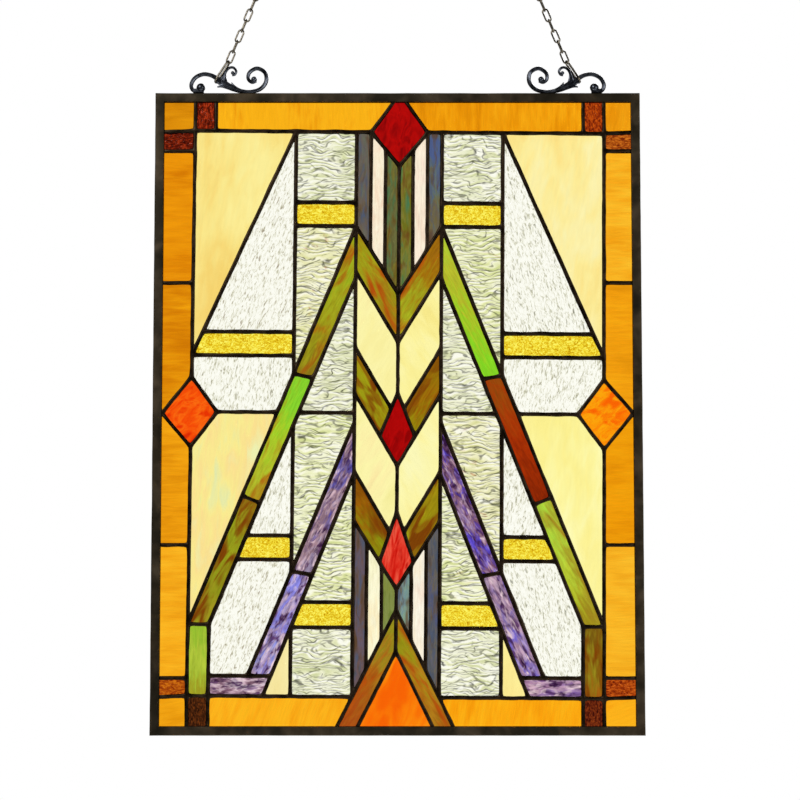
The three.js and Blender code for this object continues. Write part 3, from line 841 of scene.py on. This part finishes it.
amber = dict(streak=6.0, size=4.5, swirl=0.3, warp=0.9, cloud=0.9, grain=0.14)
cream = dict(streak=3.0, size=10.0, swirl=0.6, warp=0.7, cloud=1.0, grain=0.06)
green = dict(streak=4.0, size=6.0, swirl=1.6, warp=0.6, cloud=0.3, grain=0.4, drift=1.0, vein_size=11.0)
violet = dict(streak=3.0, size=8.0, swirl=1.4, warp=1.5, cloud=0.4, grain=0.6, drift=0.5, vein_size=4.8)
stripe = dict(streak=4.0, size=6.0, swirl=1.6, warp=0.9, cloud=1.1, grain=0.25)
gem = dict(swirl=1.0, warp=1.1, cloud=0.8)
side_gem = gem | dict(size=9.0, streak=2.0, grain=0.05)
ruby = gem | dict(size=9.0, streak=2.5, grain=0.1)
rust_veins = [("b04c0c", 0.52, 0.66)]
brown_veins = [("7c4006", 0.5, 0.6)]
faint_veins = [("a08420", 0.52, 0.64)]
violet_veins = [("34163c", 0.5, 0.64), ("f0d4dc", 0.55, 0.68)]
blue_veins = [("4c5870", 0.53, 0.66), ("5c4430", 0.54, 0.66)]
green_veins = [("447850", 0.54, 0.66), ("6c4c1c", 0.53, 0.66)]

glaze_both("border_top", "amber_long", amber,
           [tints("ee9c0c fbb418 f6ae14", 90)], [tints("d88404 ee9808 f5a812", 90)])
glaze_both("border_side_upper", "amber_tall", amber,
           [tints("d47802 e68e08 ef980a", 0), tints("cc7402 de8806 ee9e0c", 0)],
           [tints("f09e12 f8b020 fbbe2c", 0), tints("e0900a f09c0e f6a812", 0)])
glaze_both("border_side_lower", "amber_low", amber,
           [tints("dc8a08 ee9c0e f6a814", 0), tints("ee9e14 f8ae1c fcb824", 0)],
           [tints("e48e06 ee9a08 f2a20c", 0), tints("f2a81c f8b424 fcbe2c", 0)])
glaze_both("border_bottom", "amber_foot", amber,
           [tints("f6a010 fcb01a fdb81e", 70)], [tints("f89c0a fdac12 fdb418", 80)])
glaze_both("cream_upper", "cream_high", cream,
           [tints("f6d470 fae486 fcee98", 80)], [tints("fbe084 fdec98 fcf2b0", 80)])
glaze("cream_lower_left", "cream_low_left", cream | dict(streak=4.0, size=8.0),
      tints("e2eaae faec90 fbe090 eef0b0", 85))
glaze("cream_lower_right", "cream_low_right", cream, tints("fcf090 fef6a0 fffbb4", 85))
glaze_both("cream_small", "cream_tip", cream,
           [tints("f4e298 fcf0b0", 80)], [tints("fce48c fef29c", 80)])
glaze("chevron_2", "cream_chevron_high", cream,
      tints("faf0a0 fdf6ac f8e8a0", 60), tints("f8ea8c fdf4a0 fcf6b8", -60))
glaze("chevron_4", "cream_chevron_low", cream,
      tints("f4ec98 fdf6ac fbe8a4", 60), tints("fbec98 fdf6a8 fcf8b8", -60))
glaze("green_band_left", "green_left", green,
      tints("94b01c a4a820 9c9818 8a7418", 62, rust_veins, (0.1, 0.4, 0.65, 0.95)),
      tints("84d02c a4cc28 b0bc2c acac24", 62, rust_veins, (0.05, 0.4, 0.7, 0.95)),
      tints("8c6410 98a01c 8c9018 a09420", 62, brown_veins, (0.05, 0.35, 0.6, 0.95)),
      tints("96bc30 b0c43c a4bc34 a09c24", 90, starts=(0.1, 0.4, 0.7, 0.95)))
glaze("green_band_right", "green_right", green,
      tints("b0cc34 b8b42c a4c828 84d424", 118, starts=(0.1, 0.35, 0.6, 0.95)),
      tints("94480c a43c08 a83004 842404", 118, starts=(0.05, 0.35, 0.6, 0.95)),
      tints("acdc40 b8cc38 acb024 a08c1c", 118, faint_veins, (0.05, 0.4, 0.7, 0.95)),
      tints("785810 94881c 8c7014 a05c10", 90, brown_veins, (0.1, 0.45, 0.7, 0.95)))
glaze("chevron_1", "green_chevron", green,
      tints("a08c14 a0a41c 988c18 b07c14", -58, rust_veins, (0.05, 0.35, 0.66, 0.95)),
      tints("946010 a4700c a09c1c a8b020", 58, rust_veins, (0.05, 0.4, 0.7, 0.95)))
glaze_both("purple_band", "purple", violet,
           [tints("5850a0 6c5478 9c7c84 ac8c98 9888a4", 62, violet_veins),
            tints("8c8ae4 8470a8 b49cb4 8c90dc", 62, violet_veins)],
           [tints("8c74a8 a07c94 6c4458 4838b4 6c58d0", 118, violet_veins),
            tints("806c94 a8849c 9c80a8 7464c4", 118, violet_veins)])
glaze_both("purple_foot", "purple_foot", violet,
           [tints("5c3c4c a88498 e0ccd4 7c6088", 0, violet_veins)],
           [tints("b48ca0 a478a0 ccb0c0 8460a4", 0, violet_veins)])
glaze("stripes_top", "stripe_high", stripe,
      tints("5c5034 6c5c44 645c58 646c54", 90, blue_veins), tints("f4e0bc fcf2d8 f6dcc0", 90),
      tints("64641c 7c7430 5c5c34 707040", 90, green_veins),
      tints("6c6c1c 847c34 647430 74744c", 90, green_veins), tints("f4dcc4 fcf0d8 f8e0cc", 90),
      tints("4c5c88 647060 70643c 605c58", 90, blue_veins))
glaze("stripes_bottom", "stripe_low", stripe,
      tints("4c4840 6c5450 60586c 645040", 90, blue_veins), tints("f4f0c4 fffad8 fbecc0", 90),
      tints("7c8434 84904c 6c7c34 848838", 90), tints("7c9060 84a088 6c8c98 949c80", 90, blue_veins),
      tints("f6e8cc fdf6e4 f6e4d0", 90), tints("4c5464 6c6454 4c5478 706450", 90, blue_veins))
glaze_both("chevron_3", "olive_high", green,
           [tints("a08c10 a09c14 9c9c14 987c0c", -58, brown_veins, (0.1, 0.4, 0.6, 0.9))],
           [tints("8c5c08 96740a 9c6408 94840c", 58, brown_veins, (0.1, 0.4, 0.65, 0.9))])
glaze_both("chevron_5", "olive_low", green,
           [tints("8c5808 9a5c08 8c7c0c 8c9010", -58, brown_veins, (0.1, 0.4, 0.7, 0.95))],
           [tints("a08c10 948410 9c8c10 a4a418", 58, brown_veins, (0.1, 0.4, 0.6, 0.95))])
glaze("pyramid_legs", "olive_leg", green,
      tints("948c1c a8781c a86418 a84c14", 55, rust_veins, (0.05, 0.35, 0.6, 0.95)),
      tints("949014 a08c18 b47c1c 946410", -55, rust_veins, (0.05, 0.35, 0.6, 0.95)))
glaze("diamond_side_left", "orange_red_left", side_gem,
      tints("d42402 f44404 fc6c10 e83402", 40))
glaze("diamond_side_right", "orange_right", side_gem,
      tints("f87404 fc9006 fda80c fa6402", 30))
glaze("diamond_top", "red_upper", ruby,
      tints("740406 9c0606 b80a08 880406", 80))
glaze("diamond_middle", "red_central", ruby,
      tints("8c0304 b40808 a80606 a00404", 70))
glaze("diamond_bottom", "red_base", gem | dict(size=8.0, streak=4.0, grain=0.06),
      tints("b80804 d82014 f05c44 b40804", 80))
glaze("pyramid_centre", "orange_flame", gem | dict(size=16.0, streak=3.0, grain=0.03),
      tints("f86404 fc8008 fd9410 fa7406", 70))

# Corners: the upright and the level brown accent, from dark to light, and the amber square between them
corners = (
    ("top_left", "240602 701804 c8441c", "240402 601404 b03c18", tints("cc8004 dc8c08 e4960c", 0)),
    ("top_right", "4c0c02 942c06 dc6410", "581004 a04408 e88828", tints("e48e08 ee9c10 f0a414", 80)),
    ("bottom_left", "160602 3c1c0a 7c3c10", "701c04 b04c08 dc8018", tints("e8980c f2a414 f4a814", 10)),
    ("bottom_right", "280402 5c1c0c a04814", "5c1002 a83c06 dc7020", tints("f8a010 fcb01a fdb41c", 20)),
)
for i, (corner, upright, level, square) in enumerate(corners):
    above = brown_glass(f"brown_upright_{corner}", 90, 2 * i + 1, *upright.split())
    beside = brown_glass(f"brown_level_{corner}", 0, 2 * i + 2, *level.split())
    looks[f"border_corner_{corner}"] = [
        glass_look(above, "brown_glass"), *art_looks(f"amber_corner_{i + 1}", amber, square),
        glass_look(beside, "brown_glass")]

# Textured glass: pale colours, from the ripples' painted shade side to their crests, and the strength
# of the rust, then the slant and the colour of the strokes' painted shade
fine_gap = 1.5
hammer_gap = 1.6
waves = (("d2d8a4 eff0c8 fbfbea fefef0", 0.0), ("d8d898 f1f0bc fcf9dc fefef0", 0.8),
         ("d2da94 edf0b8 fafadc fefef0", 0.3))
strokes = ((70, "7c6c5c"), (104, "6c6c60"), (80, "74705c"))
wave, rusty, faint = [
    glass_look(wave_glass(f"wave_glass_{i}", i * 2.3, body.split(), rust), "ripple_glass", fine_gap,
               relief_ripple)
    for i, (body, rust) in enumerate(waves)]
clear_looks = [
    glass_look(grain_glass(f"hammered_glass_{i}", i * 1.9, turn, dark), "clear_glass", hammer_gap,
               relief_hammer)
    for i, (turn, dark) in enumerate(strokes)]
yellow = glass_look(granite_glass("granite_glass", 2.0), "amber_glass", fine_gap, relief_granite)
for label, first_clear in (("left", 0), ("right", 1)):
    clear, other = clear_looks[first_clear], clear_looks[2]
    looks[f"clear_upper_{label}"] = [clear, yellow, other]
    looks[f"clear_lower_{label}"] = [other, yellow, clear]
    looks[f"ripple_upper_{label}"] = [wave, yellow, rusty if label == "left" else faint]
    looks[f"ripple_middle_{label}"] = [wave, faint if label == "left" else rusty]
    looks[f"ripple_lower_{label}"] = [faint, yellow, wave]

for node_name, pane_index, pane in panes:
    make_pane(node_name, pane_index, pane, looks[node_name][pane_index])

solder_points, solder_faces = lattice_mesh()
make_piece("solder_lines", solder_points, solder_faces, solder_metal, "solder", "solder_lattice",
           sharp=55)


# Frame
frame_profile = [
    (-frame_depth / 2, 0), (frame_depth / 2, 0), (frame_depth / 2, -frame_face),
    (groove_half, -frame_face), (groove_half, -frame_wall), (-groove_half, -frame_wall),
    (-groove_half, -frame_face), (-frame_depth / 2, -frame_face)]
frame_edge_radii = [1.1, 1.1, 0.5, 0.4, 0.3, 0.3, 0.4, 0.5]
frame_step = 6
frame_dent = 0.1
frame_pinch = 0.012
frame_fade = 20
bar_places = {
    "top": (0, 0, panel_height / 2), "right": (90, panel_width / 2, 0),
    "bottom": (180, 0, -panel_height / 2), "left": (270, -panel_width / 2, 0)}


def rounded_profile(corners, radii, arc=4):
    """A closed outline with each corner turned into an arc."""
    corners = np.array(corners, float)
    points = []
    for i, corner in enumerate(corners):
        before, after = corners[i - 1] - corner, corners[(i + 1) % len(corners)] - corner
        before, after = before / np.hypot(*before), after / np.hypot(*after)
        start, end = corner + before * radii[i], corner + after * radii[i]
        for step in range(arc + 1):
            share = step / arc
            first = start + (corner - start) * share
            points.append(first + (corner + (end - corner) * share - first) * share)
    return np.array(points)


def frame_bar(side, length, seed):
    """A mitred channel bar, softly worn and not quite straight, turned to its side of the panel."""
    profile = rounded_profile(frame_profile, frame_edge_radii)
    steps = round(length / frame_step)
    dents = Waves(seed, 60, 6)
    rows = []
    for step in range(steps + 1):
        share = 2 * step / steps - 1
        end = length / 2 + profile[:, 1] - fit_gap / 4
        row = np.column_stack([share * end, profile])
        wave = dents(np.column_stack([row[:, 0], row[:, 1] * 3 + row[:, 2]]))
        fade = min(1, (1 - abs(share)) * length / frame_fade)
        row[:, 2] -= frame_dent * fade * np.abs(wave) * (row[:, 2] > -frame_wall)
        row[:, 1] *= 1 - frame_pinch * fade * np.abs(wave)
        rows.append(row)
    points, count = np.vstack(rows), len(profile)
    faces = []
    for step in range(steps):
        for i in range(count):
            k = (i + 1) % count
            a, b = step * count, (step + 1) * count
            faces.append((a + i, b + i, b + k, a + k))
    faces += [tuple(range(count)), tuple(reversed(range(steps * count, (steps + 1) * count)))]
    turn, x, z = bar_places[side]
    cos, sin = math.cos(math.radians(turn)), math.sin(math.radians(turn))
    turned = np.column_stack([points[:, 0] * cos + points[:, 2] * sin + x, points[:, 1],
                              points[:, 2] * cos - points[:, 0] * sin + z + panel_centre_z])
    return turned, faces


for seed, side in enumerate(bar_places, start=70):
    bar_length = panel_width if side in ("top", "bottom") else panel_height
    make_piece(f"frame_channel_{side}", *frame_bar(side, bar_length, seed), frame_metal, "frame_metal",
               f"frame_{side}", sharp=32)


# Rods
curve_samples = 30


def curve_points(controls, count):
    """Evenly spaced points on a smooth curve through its controls."""
    padded = np.vstack([2 * controls[0] - controls[1], controls, 2 * controls[-1] - controls[-2]])
    fine = []
    for i in range(1, len(padded) - 2):
        a, b, c, d = padded[i - 1:i + 3]
        for t in np.linspace(0, 1, curve_samples, endpoint=False):
            fine.append(0.5 * (2 * b + (c - a) * t + (2 * a - 5 * b + 4 * c - d) * t ** 2
                               + (3 * b - a - 3 * c + d) * t ** 3))
    fine.append(padded[-2])
    fine = np.array(fine)
    travelled = np.concatenate([[0], np.cumsum(np.linalg.norm(np.diff(fine, axis=0), axis=1))])
    wanted = np.linspace(0, travelled[-1], count)
    return np.column_stack([np.interp(wanted, travelled, column) for column in fine.T])


def rod(path, section, sides, binormal, closed=False):
    """Sweeps a section along a flat path. It gives (across, along the binormal) at (i, angles)."""
    path, binormal = np.array(path, float), np.array(binormal, float)
    if closed:
        tangents = np.roll(path, -1, axis=0) - np.roll(path, 1, axis=0)
    else:
        tangents = np.gradient(path, axis=0)
    tangents /= np.linalg.norm(tangents, axis=1)[:, None]
    angles = 2 * math.pi * np.arange(sides) / sides
    points = []
    for i, (place, tangent) in enumerate(zip(path, tangents)):
        normal = np.cross(binormal, tangent)
        across, deep = section(i, angles)
        points.append(place + across[:, None] * normal + deep[:, None] * binormal)
    count = len(path)
    faces = []
    for i in range(count if closed else count - 1):
        a, b = i * sides, (i + 1) % count * sides
        for s in range(sides):
            n = (s + 1) % sides
            faces.append((a + s, a + n, b + n, b + s))
    if not closed:
        faces += [tuple(reversed(range(sides))), tuple(range((count - 1) * sides, count * sides))]
    return np.vstack(points), faces


def joined(parts):
    """Several closed meshes as one."""
    points, faces, start = [], [], 0
    for part_points, part_faces in parts:
        points.append(part_points)
        faces += [tuple(i + start for i in face) for face in part_faces]
        start += len(part_points)
    return np.vstack(points), faces


def ball(centre, radius, rows=10, sides=18):
    """A round bead."""
    centre = np.array(centre, float)
    points = [centre - (0, 0, radius)]
    for row in range(1, rows):
        tilt = math.pi * row / rows
        for side in range(sides):
            turn = 2 * math.pi * side / sides
            level = math.sin(tilt)
            way = (level * math.cos(turn), level * math.sin(turn), -math.cos(tilt))
            points.append(centre + radius * np.array(way))
    points.append(centre + (0, 0, radius))
    faces = []
    for side in range(sides):
        n = (side + 1) % sides
        faces.append((0, 1 + n, 1 + side))
        for row in range(rows - 2):
            a, b = 1 + row * sides, 1 + (row + 1) * sides
            faces.append((a + side, a + n, b + n, b + side))
        top = 1 + (rows - 2) * sides
        faces.append((top + side, top + n, len(points) - 1))
    return np.array(points), faces


# Brackets, in millimetres on the frame's top: X from bracket_from_side towards the panel's middle.
# Every limb is given as (X, Z, radius) along its middle, and every ball by the same three.
limb_depth = bracket_depth / 2
limb_step = 1.1
limb_fullness = 1.2
channel_width = 0.42
arch = [(5, 11, 2.3), (0.6, 14.4, arch_root_radius), (-5.5, 17.8, 2.0), (-13.1, 18.9, arch_radius),
        (-20.6, 15.6, arch_radius), (-24.4, 9.2, arch_radius), (-23.2, 3.8, 1.9), (-18.4, 1.6, 1.7),
        (-13.8, 3.2, 1.5)]
volute = [(8, 7.6, 2.2), (14, 5.4, 2.2), (21, 2.9, 2.1), (31.5, 1.7, volute_radius), (41.5, 4.4, 1.95),
          (47.2, 11.6, 2), (46.2, 20.4, 1.95), (38.5, 24.6, 1.9), (31.3, 20.6, volute_radius),
          (30.2, 14.4, 1.75), (33.8, 11, 1.6), (37.8, 12.4, 1.5)]
tendril = [(5.6, 11.5, 2.4), (6.8, 17, 1.7), (8.6, 21.8, 1.4), (11.8, 25, tendril_radius),
           (15.6, 25.4, tendril_radius), (18.5, 22.2, tendril_radius),
           (17.2, 18.6, 1.15), (14.6, 18, 1.1)]
leaf_lobes = [
    [(-1.4, 11, 1.1), (4, 10.4, 1.5), (10, 8, 1.7), (17, 4.8, 1.5), (25, 2.6, 1.2)],
    [(1.4, 8.8, 0.4), (6, 8.4, 1.3), (12, 6.2, 1.4), (20, 3.4, 1.2)],
    [(0.4, 6.5, 0.6), (5, 7, 1.2), (11, 5.2, 1.3), (18, 2.6, 1.1), (25, 1.6, 0.9)],
    [(5, 13.4, 1.2), (8.5, 10.8, 1.6), (13, 8.2, 1.4), (18, 5.4, 1.2), (25, 3.2, 0.8)],
    [(14.2, 11, 0.4), (15.4, 8.6, 1), (18.6, 5.8, 1.1), (23, 3.8, 0.8)],
    [(3, 12.4, 1.3), (5.2, 15.6, 1.4), (7, 19.6, 1)],
    [(9.2, 11.6, 1.1), (8, 15.4, 1.2), (8, 19.8, 0.9)],
]
leaf_core = [(4, 9.6, 2.2), (9, 8, 2.4), (16, 4.8, 2), (24, 2.6, 1.3)]
foot_pad = [(-22.6, 2.6, 2.2), (-17.5, 2.6, 2.4), (-12.4, 2.4, 2)]
scroll_balls = ((-15.3, 5.7, 4.3), (35.7, 13.8, 2.9), (15.2, 20.2, 1.8))


def limb(side, controls, depth=limb_depth, channel=0.45, sides=20):
    """A cast limb in the plane of the panel with a hollow channel down its front and back."""
    flat = np.array(controls, float)
    count = max(8, round(np.hypot(*np.diff(flat[:, :2], axis=0).T).sum() / limb_step))
    spots = curve_points(flat, count)

    def section(i, angles):
        radius = spots[i, 2]
        hollow = 1 - channel * np.exp(-(np.cos(angles) / channel_width) ** 2)
        deep = np.clip(limb_fullness * radius * np.sin(angles), -depth, depth) * hollow
        return radius * np.cos(angles), deep

    path = np.column_stack([-side * spots[:, 0], np.zeros(count), spots[:, 1]])
    return rod(path, section, sides, (0, 1, 0))


def bracket_mesh(side):
    parts = [limb(side, controls) for controls in (arch, volute, tendril)]
    parts += [limb(side, lobe, depth=2.2, channel=0.15, sides=12) for lobe in leaf_lobes]
    parts.append(limb(side, leaf_core, depth=0.9, channel=0.0))
    parts.append(limb(side, foot_pad, depth=2.0, channel=0.0))
    parts += [ball((-side * x, 0, z), radius) for x, z, radius in scroll_balls]
    points, faces = joined(parts)
    points[:, 2] = np.maximum(points[:, 2], fit_gap)
    points += (side * (panel_width / 2 - bracket_from_side), 0, panel_top)
    return points, faces


# Chains
ring_flatness = 0.87


def wire_section(radius, flatness=1.0):
    """The section of a wire, flatter from front to back where the share is under 1."""
    def section(_, angles):
        return radius * np.cos(angles), flatness * radius * np.sin(angles)

    return section


def link(low, high, width, wire, turn, steps=9, sides=10):
    """A round-wire link standing on Z, its hole running from low to high, turned about Z."""
    radius = wire / 2
    half = width / 2 - radius
    bottom, top = low - radius, high + radius
    bend = np.linspace(0, math.pi, steps)
    path = [(half * math.cos(a), 0, top - half + half * math.sin(a)) for a in bend]
    path += [(-half * math.cos(a), 0, bottom + half - half * math.sin(a)) for a in bend]
    points, faces = rod(path, wire_section(radius), sides, (0, 1, 0), closed=True)
    cos, sin = math.cos(turn), math.sin(turn)
    points = np.column_stack([points[:, 0] * cos - points[:, 1] * sin,
                              points[:, 0] * sin + points[:, 1] * cos, points[:, 2]])
    return points, faces


def aimed(mesh, start, end):
    """Stands an upright mesh on one point of the X-Z plane and leans it towards another."""
    points, faces = mesh
    start, end = np.array(start), np.array(end)
    lean = math.atan2(end[0] - start[0], end[1] - start[1])
    cos, sin = math.cos(lean), math.sin(lean)
    x = points[:, 0] * cos + points[:, 2] * sin + start[0]
    z = points[:, 2] * cos - points[:, 0] * sin + start[1]
    return np.column_stack([x, points[:, 1], z]), faces


def chain_mesh(side):
    """A long link round the bracket's arch, then links by turns edge on and face on up to the ring."""
    grip_x, grip_z = chain_grip
    hold = np.array([side * (panel_width / 2 - bracket_from_side + grip_x), panel_top + grip_z])
    upwards = np.array([-side * math.sin(long_link_lean), math.cos(long_link_lean)])
    foot = hold - upwards * (arch_root_radius + fit_gap)
    hole = long_link_length - 2 * long_link_wire
    head = foot + upwards * (hole + link_bite)
    ring_centre = np.array([0, ring_wire - ring_outer / 2])
    span = np.hypot(*(head - ring_centre)) - (ring_outer / 2 - ring_wire - fit_gap)
    count = 2 * round(span / link_pitch / 2)
    turn = math.pi / 2 + side * long_link_turn
    parts = [aimed(link(0, hole, long_link_width, long_link_wire, turn), foot, foot + upwards)]
    for i in range(count):
        low, high = i * span / count, (i + 1) * span / count
        upright = link(low, high, link_width, link_wire, i % 2 * math.pi / 2)
        parts.append(aimed(upright, head, ring_centre))
    return joined(parts)


def ring_mesh():
    radius = (ring_outer - ring_wire) / 2
    around = np.linspace(0, 2 * math.pi, 64, endpoint=False)
    path = [(radius * math.cos(a), 0, radius * math.sin(a) + ring_wire / 2 - radius) for a in around]
    return rod(path, wire_section(ring_wire / 2, ring_flatness), 14, (0, 1, 0), closed=True)


for side, label in ((-1, "left"), (1, "right")):
    make_piece(f"scroll_bracket_{label}", *bracket_mesh(side), bracket_metal, "bracket_metal",
               f"bracket_{label}", sharp=50)
    make_piece(f"link_chain_{label}", *chain_mesh(side), chain_metal, "chain_metal",
               f"chain_{label}", sharp=80)
make_piece("wire_ring", *ring_mesh(), chain_metal, "chain_metal", "hang_ring", sharp=80)


# Stage and light, in metres
floor_radius = 1.3
floor_level = -1.45
floor_sides = 96
panel_middle = (0, 0, -0.7)
mirror_light = 0.12


def make_stage():
    around = np.linspace(0, 2 * math.pi, floor_sides, endpoint=False)
    points = [(floor_radius * math.cos(a), floor_radius * math.sin(a), floor_level) for a in around]
    mesh = bpy.data.meshes.new("floor")
    mesh.from_pydata(points, [], [tuple(range(floor_sides))])
    floor = Material("floor_pale", Roughness=0.9, Base_Color=(0.86, 0.86, 0.85, 1))
    mesh.materials.append(floor.finish())
    piece = bpy.data.objects.new("floor", mesh)
    bpy.context.scene.collection.objects.link(piece)


def area_light(name, place, towards, size, power):
    data = bpy.data.lights.new(name, "AREA")
    data.size = size
    data.energy = power
    lamp = bpy.data.objects.new(name, data)
    lamp.location = place
    lamp.rotation_euler = (Vector(towards) - Vector(place)).to_track_quat("-Z", "Y").to_euler()
    bpy.context.scene.collection.objects.link(lamp)


def make_world():
    """White all round, and dimmer in reflections so that dark metal stays dark."""
    world = bpy.data.worlds.new("white_room")
    world.use_nodes = True
    tree = world.node_tree
    background = tree.nodes["Background"]
    background.inputs["Color"].default_value = (1, 1, 1, 1)
    path = tree.nodes.new("ShaderNodeLightPath")
    mirrored = tree.nodes.new("ShaderNodeMath")
    mirrored.operation = "SUBTRACT"
    mirrored.use_clamp = True
    tree.links.new(path.outputs["Is Glossy Ray"], mirrored.inputs[0])
    tree.links.new(path.outputs["Is Transmission Ray"], mirrored.inputs[1])
    strength = tree.nodes.new("ShaderNodeMapRange")
    strength.inputs[3].default_value = 1.0
    strength.inputs[4].default_value = mirror_light
    tree.links.new(mirrored.outputs[0], strength.inputs[0])
    tree.links.new(strength.outputs[0], background.inputs["Strength"])
    bpy.context.scene.world = world
    bpy.context.scene.view_settings.view_transform = "Standard"


make_stage()
make_world()
area_light("key_light", (-1.1, -1.7, 0.5), panel_middle, size=0.9, power=26)
area_light("fill_light", (1.5, -1.3, -0.5), panel_middle, size=0.8, power=12)
area_light("rim_light", (0.6, 1.6, 0.4), (0, 0, -0.6), size=0.8, power=16)
